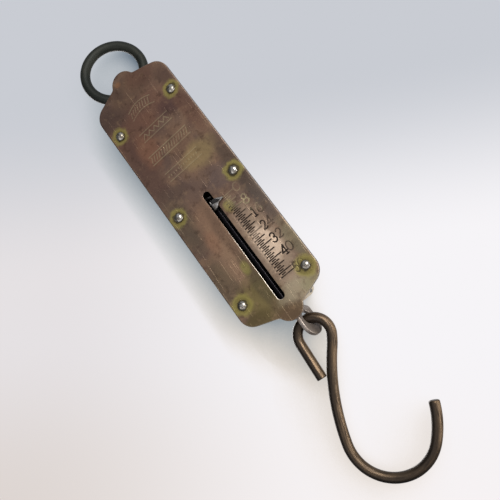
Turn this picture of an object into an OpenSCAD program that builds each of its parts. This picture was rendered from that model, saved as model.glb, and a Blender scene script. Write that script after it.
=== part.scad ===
// Hanging spring scale with a flat riveted face, a slot pointer and a load hook.
// The origin is where the ring hangs: the inside of its top, above the case's centre line.
// The dial faces -Y and the hook hangs down along -Z.

/* [Face plate] */
// Width of the face plate
face_w = 44.4; // [40:0.2:50]
// Height of the face plate from tab tip to tab tip
face_h = 149.2; // [145:0.2:160]
// Thickness of the face plate
face_t = 1.0; // [0.6:0.1:1.6]
// Radius of the outer corners
corner_r = 7.5; // [5:0.5:9]
// Distance of the corner arcs' centres from the tabs' tips
corner_in = 15.3; // [13:0.1:17]
// Radius of the round tab at each end
tab_r = 6.8; // [5:0.1:8]
// Fall of the shoulders from the tab to the corners
shoulder_drop = 2.6; // [1:0.1:4]
// Radius of the hollow between tab and shoulder
notch_r = 2.0; // [1:0.1:3]

/* [Slot and scale] */
// Width of the pointer slot
slot_w = 3.9; // [3.4:0.1:5]
// Height of the slot's upper end, below the middle of the face
slot_top = 2.1; // [1:0.1:4]
// Distance of the slot's lower end from the lower tab's tip
slot_in = 10.7; // [10:0.1:14]
// Height of the zero mark, below the middle of the face
zero_drop = 9.95; // [9:0.05:11]
// Length of the slot beyond the full load's mark
slot_room = 7.6; // [6:0.1:9]

/* [Back shell] */
// Thickness of the shell's sheet
shell_t = 0.9; // [0.6:0.1:1.2]
// Outer width of the trough
trough_w = 25; // [24:0.5:27]
// Depth of the whole case, from the face to the trough's back
case_d = 13.8; // [13.6:0.1:16]
// Outer radius of the trough's long edges
trough_r = 3.5; // [1.5:0.1:4.5]
// Distance of the trough's open mouth below the upper tab's tip
mouth_in = 11.6; // [9.6:0.1:13]
// Distance of the trough's closed end above the lower tab's tip
end_in = 6.6; // [4.6:0.1:7.6]
// Reach of the cuts in the flange beyond the trough's sides, clear of ring and bar
relief_reach = 3.0; // [1.5:0.1:4]
// Width of the notch in the trough's back wall, behind the ring's eye
notch_w = 14; // [10:0.5:18]
// Radius of the notch's lower corners
notch_corner_r = 3; // [1:0.5:5]
// Depth of the notch below the trough's mouth
notch_depth = 5.5; // [4:0.1:7]
// Radius of the bend between trough and flange
flange_bend = 1.2; // [0.4:0.1:2]

/* [Rivets] */
// Distance of the rivets from the plate's long edges
rivet_in = 5.0; // [4.2:0.1:6]
// Distance of the top rivets from the upper tab's tip
rivet_top_in = 26.0; // [22:0.1:34]
// Depth of the middle rivets below the middle
rivet_mid = 3.2; // [1:0.1:10]
// Distance of the lower left rivet from the lower tab's tip
rivet_left_in = 19.7; // [17:0.1:24]
// Distance of the lower right rivet from the tip, lower than its fellow
rivet_right_in = 16.1; // [15:0.1:20]
// Diameter of the domed heads
rivet_head_d = 4.6; // [4:0.1:5.4]
// Height of the domed heads
rivet_head_h = 1.5; // [1:0.1:2]
// Diameter of the shanks
rivet_d = 2.4; // [2:0.1:3]
// Diameter of the heads closed over the flange
rivet_tail_d = 3.8; // [3.4:0.1:4.4]
// Height of the heads closed over the flange
rivet_tail_h = 0.8; // [0.5:0.1:1.2]

/* [Ring] */
// Radius of the ring's centre line
ring_r = 15.1; // [14:0.1:18]
// Diameter of the ring's wire
ring_d = 5.0; // [4:0.1:5.4]
// Twist of the ring in its eye about the vertical
ring_twist = 18; // [10:1:20]
// Lean of the ring to the left in its own plane
ring_lean = 9; // [0:1:10]

/* [Ring eye] */
// Distance of the ring's wire in the eye below the upper tab's tip
eye_in = 8.4; // [6.6:0.1:8.8]
// Depth of the eye behind the face
eye_y = 8.0; // [7.8:0.1:8.2]
// Thickness of the eye's plate
eye_t = 2.0; // [1.4:0.1:2.4]
// Diameter of the hole for the ring
eye_hole_d = 8.0; // [7.8:0.1:8.4]
// Width of the metal round the ring's hole
eye_wall = 1.7; // [1.4:0.1:1.8]
// Room above the ring's wire in its hole
eye_room = 0.8; // [0.7:0.1:1.2]
// Width of the link's shank
eye_shank_w = 8.6; // [7:0.1:9]
// Length of the link from the ring's hole to its lower end
eye_len = 14; // [13.6:0.1:15]
// Diameter of the cross pin
pin_d = 3.0; // [2.4:0.1:3.4]
// Distance of the cross pin below the ring's hole
pin_drop = 7.3; // [7:0.1:7.6]
// Diameter of the cross pin's domed ends
pin_head_d = 5.0; // [4:0.1:6]
// Height of the cross pin's domed ends
pin_head_h = 1.0; // [0.6:0.1:1.4]

/* [Spring] */
// Diameter of the spring's wire
wire_d = 1.7; // [1.4:0.1:1.8]
// Mean diameter of the coils
coil_d = 9.2; // [8.4:0.1:9.4]
// Gap between neighbouring coils at zero load, before rounding to whole coils
coil_gap = 0.5; // [0.45:0.05:0.6]
// Drop of the spring's lower hole below the zero mark
hole_drop = 1.0; // [0:0.1:2]
// Radius of the end loops
loop_r = 3.0; // [2.8:0.1:3.2]
// Rise of the wire from the last coil to the start of a loop
loop_rise = 2.6; // [2.4:0.1:3]

/* [Draw bar and pointer] */
// Width of the flat bar
bar_w = 8.0; // [6:0.1:8.6]
// Thickness of the flat bar
bar_t = 2.0; // [1.6:0.1:2.2]
// Turn of the bar about its length, where 90 stands it edge-on to the face
bar_turn = 74; // [72:1:80]
// Width of the bar's eye
head_w = 11.0; // [10:0.1:11.2]
// Diameter of the hole for the hook
head_hole_d = 7.4; // [7.2:0.1:7.6]
// Distance of the eye's shoulders above the lower tab's tip
shoulder_in = 3.2; // [2.6:0.1:4.6]
// Distance of the hook's hole beyond the lower tab's tip
head_out = 2.6; // [2.4:0.1:3.4]
// Metal below the hook's hole
head_lip = 3.8; // [2.6:0.1:4]
// Thickness of the pointer's sheet
pointer_t = 0.9; // [0.6:0.1:1.1]
// Height of the finger where it leaves the slot
finger_h = 4.5; // [3.6:0.1:5]
// Rise of the finger's upper edge above the zero line, at the slot
finger_rise = 2.2; // [1.6:0.1:2.6]
// Height of the finger's tip
finger_tip = 0.6; // [0.3:0.1:1]
// Hollow of the finger's lower edge, halfway to the tip
finger_hollow = 0.5; // [0:0.1:0.8]
// Reach of the finger to the right of the centre line
finger_reach = 5.9; // [4:0.1:8]
// Gap between the finger and the face
finger_gap = 0.5; // [0.3:0.1:1]
// Inner radius of the bend between stem and finger
finger_bend = 0.5; // [0.3:0.1:0.8]

/* [Hook] */
// Diameter of the hook's wire
hook_d = 4.8; // [4:0.1:5]
// Radius of the hook's eye, on the wire's centre line
hook_eye_r = 7.75; // [7.5:0.05:9]
// Turn of the eye from its top to the short leg
leg_turn = 86; // [70:1:90]
// Length of the short leg
leg_len = 17.8; // [8:0.2:18]
// Turn of the eye from its top to the neck
neck_turn = 121; // [110:1:124]
// Radius of the bow at the hook's bottom
bow_r = 19.3; // [16:0.1:24]
// Turn of the bow
bow_turn = 149; // [120:1:155]

/* [Hidden] */
$fn = 64;

brass = "#8a5a45";
shell_brass = "#9c8350";
iron = "#2e302e";
steel = "#8d8a88";
bar_steel = "#736964";
hook_steel = "#54463a";

// Smallest gap between two bodies, and of a rivet in its hole
clear = 0.3;
fit = 0.04;
// Overlap of cutting shapes
cut = 1;

// Heights from the middle of the face, for what is placed from the plate's ends
eye_z = face_h / 2 - eye_in;
mouth_z = face_h / 2 - mouth_in;
notch_z = mouth_z - notch_depth;
trough_end = face_h / 2 - end_in;
shoulder_z = face_h / 2 - shoulder_in;
head_hole_z = face_h / 2 + head_out;

// The hanging point above the middle of the face
hang_z = eye_z + 2 * ring_r * cos(ring_lean) - ring_d / 2 / cos(ring_lean);
// Depths behind the face
back_y = case_d - shell_t;
mid_y = (face_t + back_y) / 2;
shell_y = face_t + shell_t;

// The face plate's outline and slot
slot_end = face_h / 2 - slot_in;
scale_len = slot_end - zero_drop - slot_room;
tab_z = face_h / 2 - tab_r;
corner_z = face_h / 2 - corner_in;
corner_x = face_w / 2 - corner_r;
shoulder_top = corner_z + corner_r + shoulder_drop;

// The link and the spring, measured from the middle of the face
eye_hole_z = eye_z - (eye_hole_d - ring_d) / 2 + eye_room;
pin_z = eye_hole_z - pin_drop;
eye_head_r = eye_hole_d / 2 + eye_wall;
// The end loops hang off centre in their holes, away from the metal that they hold
loop_play = 0.2;
loop_room = 0.5;
loop_hole_d = wire_d + 2 * loop_room;
loop_lip = 1.3;
loop_hole_z = eye_hole_z - eye_len + loop_lip + loop_hole_d / 2;
bar_hole_z = -zero_drop - hole_drop;
coil_top = loop_hole_z + loop_play - 2 * loop_r - loop_rise;
coil_bottom = bar_hole_z - loop_play + 2 * loop_r + loop_rise;
// Whole coils, and a part of a turn that stands the lower loop square to the bar's flat
part_turn = (bar_turn - 90) / 360;
turns = round((coil_top - coil_bottom) / (wire_d + coil_gap) - part_turn) + part_turn;
coil_pitch = (coil_top - coil_bottom) / turns;
bar_top = bar_hole_z + loop_hole_d / 2 + loop_lip;

// The pointer: its finger's tip is at the zero mark at no load
finger_y = -finger_gap - pointer_t;
foot_top = bar_hole_z - wire_d;
foot_h = 6.5;
foot_w = 6.4;
foot_neck = 1.6;
foot_rivet_z = foot_top - foot_h / 2;
foot_rivet_d = 2.2;
foot_head_d = 3.4;
foot_head_h = 0.8;

// The hook's neck, shank and tip: radius and turn of each stretch
neck_r = 32;
neck_bend = 10.5;
shank_r = 98;
shank_bend = 25;
tip_r = 42;
tip_bend = 23;
tip_bevel = 0.8;
leg_bevel = 0.3;
hook_play = 0.7;
hook_z = head_hole_z - hook_play;
head_end = head_hole_z + head_hole_d / 2 + head_lip;

// From the middle of the face, with y behind it, to the hanging point
module in_case() {
    translate([0, -eye_y, -hang_z]) children();
}

// A flat outline in x and z, from depth y0 to y1 behind the face
module sheet(y0, y1) {
    translate([0, y1, 0]) rotate([90, 0, 0]) linear_extrude(height = y1 - y0) children();
}

// A flat outline in y and z, t thick about x = 0
module upright(t) {
    translate([-t / 2, 0, 0]) rotate([90, 0, 90]) linear_extrude(height = t) children();
}

// One end of the outline: tab, hollows and sloping shoulders
module end_outline() {
    rise = shoulder_top - corner_z - corner_r;
    // The shoulder line runs from the tab's foot down to the top of the corner arc
    slope = atan(rise / (corner_x - tab_r));
    contact_x = corner_x + corner_r * sin(slope);
    contact_z = corner_z + corner_r * cos(slope);
    function line_z(x) = contact_z + (contact_x - x) * tan(slope);
    // Centre of the hollow, which touches the shoulder line and the tab
    function hollow_z(x) = line_z(x) + notch_r / cos(slope);
    function off_tab(x) = norm([x, hollow_z(x) - tab_z]) - tab_r - notch_r;
    function root(a, b, n) = n == 0 ? (a + b) / 2
        : off_tab((a + b) / 2) > 0 ? root(a, (a + b) / 2, n - 1) : root((a + b) / 2, b, n - 1);
    halvings = 24;
    hollow_x = root(0, tab_r + 2 * notch_r, halvings);
    touch = [hollow_x, hollow_z(hollow_x)];
    foot = [touch.x - notch_r * sin(slope), touch.y - notch_r * cos(slope)];
    for (side = [-1, 1]) translate([side * corner_x, corner_z]) circle(corner_r);
    difference() {
        union() {
            translate([0, tab_z]) circle(tab_r);
            polygon([[-contact_x, 0], [contact_x, 0], [contact_x, contact_z], foot, touch, [0, tab_z],
                [-touch.x, touch.y], [-foot.x, foot.y], [-contact_x, contact_z]]);
        }
        for (side = [-1, 1]) translate([side * touch.x, touch.y]) circle(notch_r + fit / 2);
    }
}

// The outline that face plate and flange share
module outline() {
    square([face_w, 2 * corner_z], center = true);
    end_outline();
    mirror([0, 1]) end_outline();
}

// A slot with round ends, w wide, from z1 down to z0
module slot_outline(w, z0, z1) {
    translate([-w / 2, z0 + w / 2]) square([w, z1 - z0 - w]);
    translate([0, z0 + w / 2]) circle(w / 2);
    translate([0, z1 - w / 2]) circle(w / 2);
}

// The places of the six rivets, in x and z
rivet_x = face_w / 2 - rivet_in;
rivet_places = [[-rivet_x, face_h / 2 - rivet_top_in], [rivet_x, face_h / 2 - rivet_top_in],
    [-rivet_x, -rivet_mid], [rivet_x, -rivet_mid],
    [-rivet_x, rivet_left_in - face_h / 2], [rivet_x, rivet_right_in - face_h / 2]];

module rivet_holes(y0, y1) {
    for (p = rivet_places)
        translate([p.x, y1, p.y]) rotate([90, 0, 0]) cylinder(r = rivet_d / 2 + fit, h = y1 - y0);
}

// A domed cap of radius r and height h, its flat side at z = 0
module dome(r, h) {
    ball = (r * r + h * h) / (2 * h);
    rotate_extrude() intersection() {
        translate([0, h - ball]) circle(ball);
        square([r, h]);
    }
}

module front_plate() {
    color(brass) in_case() difference() {
        sheet(0, face_t) outline();
        sheet(-cut, face_t + cut) slot_outline(slot_w, -slot_end, -slot_top);
        rivet_holes(-cut, face_t + cut);
    }
}

// The trough's section in x and y from depth y0 back, grown by the wall g from its inside
module trough_section(g, y0) {
    w = trough_w / 2 - shell_t + g;
    d = back_y + g;
    r = trough_r - shell_t + g;
    difference() {
        translate([-w, y0]) square([2 * w, d - y0]);
        for (side = [-1, 1])
            translate([side * (w - r), d - r]) difference() {
                translate([side > 0 ? 0 : -r - cut, 0]) square([r + cut, r + cut]);
                circle(r);
            }
    }
}

// The trough as a solid: the section along z, with its closed end's edge rounded
module trough_body(g, y0, top) {
    low = -trough_end + shell_t - g;
    d = back_y + g;
    r = trough_r - shell_t + g;
    intersection() {
        translate([0, 0, low]) linear_extrude(height = top - low) trough_section(g, y0);
        upright(trough_w + 2 * cut) {
            translate([y0 - cut, low + r]) square([d - y0 + cut, top - low - r + cut]);
            translate([y0 - cut, low]) square([d - y0 + cut - r, r]);
            translate([d - r, low + r]) circle(r);
        }
    }
}

// The bend that leads from the flange into the trough's walls, as its outer fillet
module flange_fillet() {
    for (side = [-1, 1])
        translate([side * trough_w / 2, shell_y, -corner_z])
            linear_extrude(height = mouth_z + corner_z) difference() {
                translate([side > 0 ? -cut / 2 : -flange_bend, -cut / 2])
                    square([flange_bend + cut / 2, flange_bend + cut / 2]);
                translate([side * flange_bend, flange_bend]) circle(flange_bend);
            }
}

module back_shell() {
    relief_w = trough_w + 2 * relief_reach;
    color(shell_brass) in_case() difference() {
        union() {
            sheet(face_t, shell_y) outline();
            trough_body(shell_t, face_t, mouth_z);
            flange_fillet();
        }
        trough_body(0, face_t - cut, face_h);
        // Reliefs in the flange above the mouth and below the closed end
        translate([-relief_w / 2, face_t - cut, mouth_z]) cube([relief_w, trough_w, face_h]);
        translate([-relief_w / 2, face_t - cut, -trough_end - clear - face_h])
            cube([relief_w, trough_w, face_h]);
        // Notch in the back wall
        sheet(mid_y, case_d + cut) {
            translate([-notch_w / 2, notch_z + notch_corner_r]) square([notch_w, face_h]);
            translate([-notch_w / 2 + notch_corner_r, notch_z])
                square([notch_w - 2 * notch_corner_r, notch_corner_r + cut]);
            for (side = [-1, 1])
                translate([side * (notch_w / 2 - notch_corner_r), notch_z + notch_corner_r])
                    circle(notch_corner_r);
        }
        rivet_holes(face_t - cut, shell_y + cut);
        translate([0, mid_y, -trough_end - cut]) cylinder(r = norm([bar_w, bar_t]) / 2 + clear, h = shell_t + 2 * cut);
        translate([-trough_w, eye_y, pin_z]) rotate([0, 90, 0])
            cylinder(r = pin_d / 2 + fit, h = 2 * trough_w);
    }
}

// One rivet through plate and flange: domed head in front, closed head behind
module rivet(p) {
    color(steel) in_case() translate([p.x, 0, p.y]) {
        rotate([90, 0, 0]) dome(rivet_head_d / 2, rivet_head_h);
        rotate([-90, 0, 0]) cylinder(d = rivet_d, h = shell_y);
        translate([0, shell_y, 0]) rotate([-90, 0, 0]) dome(rivet_tail_d / 2, rivet_tail_h);
    }
}

module hanging_ring() {
    color(iron) rotate([0, 0, ring_twist])
        translate([-ring_r * sin(ring_lean), 0, -hang_z + eye_z + ring_r * cos(ring_lean)])
            rotate([90, 0, 0]) rotate_extrude() translate([ring_r, 0]) circle(d = ring_d);
}

// The link's flat: round head, shank and squared lower end with rounded corners
module eye_flat() {
    end_z = eye_hole_z - eye_len;
    end_r = 1.6;
    difference() {
        union() {
            translate([eye_y, eye_hole_z]) circle(eye_head_r);
            translate([mid_y - eye_shank_w / 2, end_z + end_r])
                square([eye_shank_w, eye_len - end_r]);
            translate([mid_y - eye_shank_w / 2 + end_r, end_z]) square([eye_shank_w - 2 * end_r, end_r]);
            for (side = [-1, 1])
                translate([mid_y + side * (eye_shank_w / 2 - end_r), end_z + end_r]) circle(end_r);
        }
        translate([eye_y, eye_hole_z]) circle(d = eye_hole_d);
        translate([eye_y, pin_z]) circle(r = pin_d / 2 + fit);
        translate([mid_y, loop_hole_z]) circle(d = loop_hole_d);
    }
}

module ring_eye() {
    color(bar_steel) in_case() upright(eye_t) eye_flat();
}

module anchor_pin() {
    color(steel) in_case() translate([0, eye_y, pin_z]) rotate([0, 90, 0]) {
        cylinder(d = pin_d, h = trough_w, center = true);
        for (side = [-1, 1])
            translate([0, 0, side * trough_w / 2]) mirror([0, 0, side > 0 ? 0 : 1])
                dome(pin_head_d / 2, pin_head_h);
    }
}

// The spring's path: a loop at each end, a narrowing half turn and the coils between
coil_steps = 8;
coil_r = coil_d / 2;
loop_turn = 290;
loop_steps = 12;
ease_steps = 5;
start_a = 180;
end_a = start_a + 360 * turns;
function polar(r, a, z) = [r * cos(a), r * sin(a), z];
function top_loop(b) = [-loop_r * sin(b), 0, coil_top + loop_rise + loop_r * (1 - cos(b))];
function low_loop(b) = let (a = end_a + 180)
    [loop_r * sin(b) * cos(a), loop_r * sin(b) * sin(a), coil_bottom - loop_rise - loop_r * (1 - cos(b))];
spring_path = concat(
    [for (i = [loop_steps : -1 : 1]) top_loop(loop_turn * i / loop_steps)],
    [for (i = [ease_steps : -1 : 1])
        polar(coil_r * (1 - i / ease_steps), start_a - 180 * i / ease_steps, coil_top + loop_rise * i / ease_steps)],
    [for (i = [0 : coil_steps * turns])
        polar(coil_r, start_a + 360 * i / coil_steps, coil_top - coil_pitch * i / coil_steps)],
    [for (i = [1 : ease_steps])
        polar(coil_r * (1 - i / ease_steps), end_a + 180 * i / ease_steps, coil_bottom - loop_rise * i / ease_steps)],
    [for (i = [1 : loop_steps]) low_loop(loop_turn * i / loop_steps)]);

function unit(v) = v / norm(v);
function along(path, i) = unit(path[min(i + 1, len(path) - 1)] - path[max(i - 1, 0)]);
function square_to(v, t) = unit(v - (v * t) * t);

// A tube of radius r along a path: each ring of points follows the last without twisting
module tube(path, r, sides) {
    last = len(path) - 1;
    ways = [for (i = 0, v = square_to([0, 1, 0], along(path, 0)); i <= last;
        i = i + 1, v = i > last ? v : square_to(v, along(path, i))) v];
    points = [for (i = [0 : last], k = [0 : sides - 1])
        let (t = along(path, i), v = ways[i], w = cross(t, v), a = 360 * k / sides)
            path[i] + r * (cos(a) * v + sin(a) * w)];
    walls = [for (i = [0 : last - 1], k = [0 : sides - 1])
        let (a = i * sides + k, b = i * sides + (k + 1) % sides) each [[a, a + sides, b], [b, a + sides, b + sides]]];
    caps = [for (k = [1 : sides - 2]) each [[0, k, k + 1],
        [last * sides, last * sides + k + 1, last * sides + k]]];
    polyhedron(points, concat(walls, caps), convexity = 10);
}

// Least gap of the spring to itself, measured between its path's points a turn or more apart
spring_gap = min([for (i = [0 : len(spring_path) - 1], j = [i + coil_steps - 2 : 1 : len(spring_path) - 1])
    norm(spring_path[i] - spring_path[j])]) - wire_d;
echo(spring_gap = spring_gap);
// Travel of the pointer from zero to the full load
echo(scale_len = scale_len);

module main_spring() {
    color(steel) in_case() translate([0, mid_y, 0]) tube(spring_path, wire_d / 2, 6);
}

// From the bar's own flat, with x across it and y through it, to the middle of the face
module in_bar() {
    translate([0, mid_y, 0]) rotate([0, 0, bar_turn]) children();
}

// A drilled hole through the bar's flat, at height z
module bar_bore(r, z) {
    translate([0, bar_w, z]) rotate([90, 0, 0]) cylinder(r = r, h = 2 * bar_w);
}

// The bar: one flat blank with the spring's hole, square shoulders and a round eye for the hook
module draw_bar() {
    corner = 1.5;
    arc_z = -head_end + head_w / 2;
    color(bar_steel) in_case() in_bar() difference() {
        sheet(-bar_t / 2, bar_t / 2) {
            translate([-bar_w / 2, -shoulder_z - cut]) square([bar_w, bar_top + shoulder_z + cut - corner]);
            translate([-bar_w / 2 + corner, bar_top - 2 * corner]) square([bar_w - 2 * corner, 2 * corner]);
            for (side = [-1, 1])
                translate([side * (bar_w / 2 - corner), bar_top - corner]) circle(corner);
            translate([-head_w / 2, arc_z]) square([head_w, -shoulder_z - arc_z]);
            translate([0, arc_z]) circle(head_w / 2);
        }
        bar_bore(loop_hole_d / 2, bar_hole_z);
        bar_bore(foot_rivet_d / 2 + fit, foot_rivet_z);
        bar_bore(head_hole_d / 2, -head_hole_z);
    }
}

// The pointer's strip in x and y: stem in the bar's turned plane, bend, and finger along the face
module pointer_strip() {
    bend_steps = 8;
    mid_r = finger_bend + pointer_t / 2;
    way = [cos(bar_turn), sin(bar_turn)];
    side = [way.y, -way.x] * pointer_t / 2;
    // The stem lies on the bar's right face and the finger in front of the plate
    foot = [0, mid_y] + [way.y, -way.x] * (bar_t + pointer_t) / 2;
    finger_mid = finger_y + pointer_t / 2;
    corner_x = foot.x - (foot.y - finger_mid) / tan(bar_turn);
    bend = [corner_x + mid_r * tan((180 - bar_turn) / 2), finger_mid + mid_r];
    stem_end = foot + way * foot_w / 2;
    function bent(r, a) = bend + r * [cos(a), sin(a)];
    turn = [for (i = [0 : bend_steps]) bar_turn + 90 + (180 - bar_turn) * i / bend_steps];
    polygon(concat([stem_end + side, stem_end - side],
        [for (a = turn) bent(finger_bend + pointer_t, a)],
        [[finger_reach, finger_y], [finger_reach, finger_y + pointer_t]],
        [for (i = [bend_steps : -1 : 0]) bent(finger_bend, turn[i])]));
}

// The pointer: the strip cut to a beak in front and to the riveted foot behind
module pointer() {
    top_z = -zero_drop + finger_rise;
    low_z = top_z - finger_h;
    bottom = foot_top - foot_h;
    foot_x = -foot_w / 2;
    root = [slot_w / 2, top_z];
    tip = [finger_reach, -zero_drop + finger_tip / 2];
    low_root = [slot_w / 4, low_z];
    low_tip = [finger_reach, -zero_drop - finger_tip / 2];
    hollow = [finger_reach / 2, low_tip.y - finger_hollow];
    // The line through a and b, carried on by cut beyond b
    function beyond(a, b) = b + (b - a) * cut / (b.x - a.x);
    color(steel) in_case() difference() {
        translate([0, 0, bottom]) linear_extrude(height = top_z - bottom) pointer_strip();
        // The beak's upper and lower edges
        sheet(finger_y - cut, 0) {
            polygon([root + (root - tip) / 2, root + (tip - root) * 2, [2 * finger_reach, top_z + slot_w]]);
            polygon([low_root + low_root - hollow, hollow, beyond(hollow, low_tip),
                [finger_reach + cut, low_z - slot_w], [low_root.x, low_z - slot_w]]);
        }
        // Under the stem, and over the foot
        in_bar() sheet(-2 * bar_w, bar_w) {
            translate([foot_x - 2 * mid_y, bottom - cut]) square([2 * mid_y, low_z - bottom + cut]);
            translate([foot_x + foot_neck, foot_top]) square([2 * foot_w, top_z - foot_top + cut]);
        }
        in_bar() bar_bore(foot_rivet_d / 2 + fit, foot_rivet_z);
    }
}

module pointer_rivet() {
    color(steel) in_case() in_bar() translate([0, 0, foot_rivet_z]) {
        translate([0, -bar_t / 2 - pointer_t, 0]) {
            rotate([90, 0, 0]) dome(foot_head_d / 2, foot_head_h);
            rotate([-90, 0, 0]) cylinder(d = foot_rivet_d, h = pointer_t + bar_t);
        }
        translate([0, bar_t / 2, 0]) rotate([-90, 0, 0]) dome(foot_head_d / 2, foot_head_h);
    }
}

// The end of a bend of radius r through angle a, from [x, z, heading]; a > 0 turns left
function bend_end(s, r, a) = let (k = a > 0 ? 1 : -1, h = s[2], e = h + a)
    [s[0] + k * r * (sin(e) - sin(h)), s[1] - k * r * (cos(e) - cos(h)), e];

// A wire bend from [x, z, heading] in the plane of x and z
module wire_bend(s, r, a) {
    k = a > 0 ? 1 : -1;
    translate([s[0], 0, s[1]]) rotate([90, 0, 0]) rotate([0, 0, s[2]]) mirror([0, k > 0 ? 0 : 1, 0])
        translate([0, r, 0]) rotate([0, 0, -90]) rotate_extrude(angle = abs(a))
            translate([r, 0]) circle(d = hook_d);
}

// A straight wire from [x, z, heading], its far end bevelled
module wire_end(s, l, bevel) {
    translate([s[0], 0, s[1]]) rotate([0, 90 - s[2], 0]) {
        cylinder(d = hook_d, h = l - bevel);
        translate([0, 0, l - bevel]) cylinder(d1 = hook_d, d2 = hook_d - 2 * bevel, h = bevel);
    }
}

module load_hook() {
    top = [0, 0, 0];
    neck = bend_end(top, hook_eye_r, -neck_turn);
    shank = bend_end(neck, neck_r, -neck_bend);
    bow = bend_end(shank, shank_r, shank_bend);
    tip = bend_end(bow, bow_r, bow_turn);
    end = bend_end(tip, tip_r, tip_bend);
    leg = bend_end([0, 0, 180], hook_eye_r, leg_turn);
    color(hook_steel) in_case() translate([0, mid_y, -hook_z]) {
        wire_bend(top, hook_eye_r, -neck_turn);
        wire_bend(neck, neck_r, -neck_bend);
        wire_bend(shank, shank_r, shank_bend);
        wire_bend(bow, bow_r, bow_turn);
        wire_bend(tip, tip_r, tip_bend);
        wire_end(end, tip_bevel, tip_bevel);
        wire_bend([0, 0, 180], hook_eye_r, leg_turn);
        wire_end(leg, leg_len, leg_bevel);
    }
}

hanging_ring();
ring_eye();
anchor_pin();
front_plate();
back_shell();
rivet(rivet_places[0]);  // rivet_top_left
rivet(rivet_places[1]);  // rivet_top_right
rivet(rivet_places[2]);  // rivet_mid_left
rivet(rivet_places[3]);  // rivet_mid_right
rivet(rivet_places[4]);  // rivet_low_left
rivet(rivet_places[5]);  // rivet_low_right
main_spring();
draw_bar();
pointer();
pointer_rivet();
load_hook();
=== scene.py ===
# A flat-faced hanging scale: a riveted brass case with a spring inside, a ring above and a load hook below.
# The sections follow the way it is put together. Lengths are in millimetres until a piece is finished.
import math

import bmesh
import bpy
import numpy as np
from mathutils import Matrix, Vector, noise
from mathutils.geometry import delaunay_2d_cdt


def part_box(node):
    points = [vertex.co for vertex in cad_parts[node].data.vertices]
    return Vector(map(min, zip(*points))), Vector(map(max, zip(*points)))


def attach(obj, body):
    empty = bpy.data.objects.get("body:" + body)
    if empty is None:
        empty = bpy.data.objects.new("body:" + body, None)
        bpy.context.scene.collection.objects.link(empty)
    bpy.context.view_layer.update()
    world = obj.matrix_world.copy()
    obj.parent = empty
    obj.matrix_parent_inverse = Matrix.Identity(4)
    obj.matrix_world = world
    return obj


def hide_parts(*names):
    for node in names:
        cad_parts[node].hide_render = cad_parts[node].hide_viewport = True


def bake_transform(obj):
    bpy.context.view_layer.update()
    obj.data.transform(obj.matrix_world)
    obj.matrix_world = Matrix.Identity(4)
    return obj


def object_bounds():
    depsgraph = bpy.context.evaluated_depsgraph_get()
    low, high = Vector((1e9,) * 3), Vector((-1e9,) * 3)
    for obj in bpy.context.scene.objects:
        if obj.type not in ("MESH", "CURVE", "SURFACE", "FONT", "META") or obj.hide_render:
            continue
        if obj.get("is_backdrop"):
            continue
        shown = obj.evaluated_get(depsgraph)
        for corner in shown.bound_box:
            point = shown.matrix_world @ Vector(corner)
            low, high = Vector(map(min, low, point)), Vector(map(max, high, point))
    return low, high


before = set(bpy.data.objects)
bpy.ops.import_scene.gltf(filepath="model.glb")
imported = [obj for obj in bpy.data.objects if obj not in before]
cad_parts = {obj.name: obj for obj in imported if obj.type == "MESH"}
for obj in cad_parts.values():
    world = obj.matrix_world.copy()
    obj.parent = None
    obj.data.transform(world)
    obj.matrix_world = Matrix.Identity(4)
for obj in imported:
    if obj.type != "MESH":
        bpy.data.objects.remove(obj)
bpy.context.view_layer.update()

# ---- The sheet of white card that the scale lies on, the lamps and the camera ----
# The card is a thin clear sheet under the back of the case. Near the scale a cool, soft painted shadow lies on
# it, and elsewhere it is as pale as the room behind it. The lengths of this section are in metres.
MM = 0.001
CARD_Y, CARD_SIDE, CARD_FOOT, CARD_HEAD = 0.0068, 0.6, -0.75, 0.5
# The camera's own right, up and back, and the middle of the hanging scale
ASIDE = Vector((0.745276, 0.331178, -0.578692))
UPWARD = Vector((0.625680, -0.047448, 0.778636))
NEARER = Vector((0.230410, -0.942374, -0.242573))
HEART = Vector((0, 0, -0.12))
# Half the length and depth of each grey cloth
CLOTH_LONG, CLOTH_DEEP = 0.4, 0.22


def linear(red, green, blue):
    """A colour as the eye names it, 0 to 255, as the linear RGBA that a socket holds."""
    def one(v):
        v = v / 255
        return v / 12.92 if v <= 0.04045 else ((v + 0.055) / 1.055) ** 2.4
    return (one(red), one(green), one(blue), 1.0)


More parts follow.
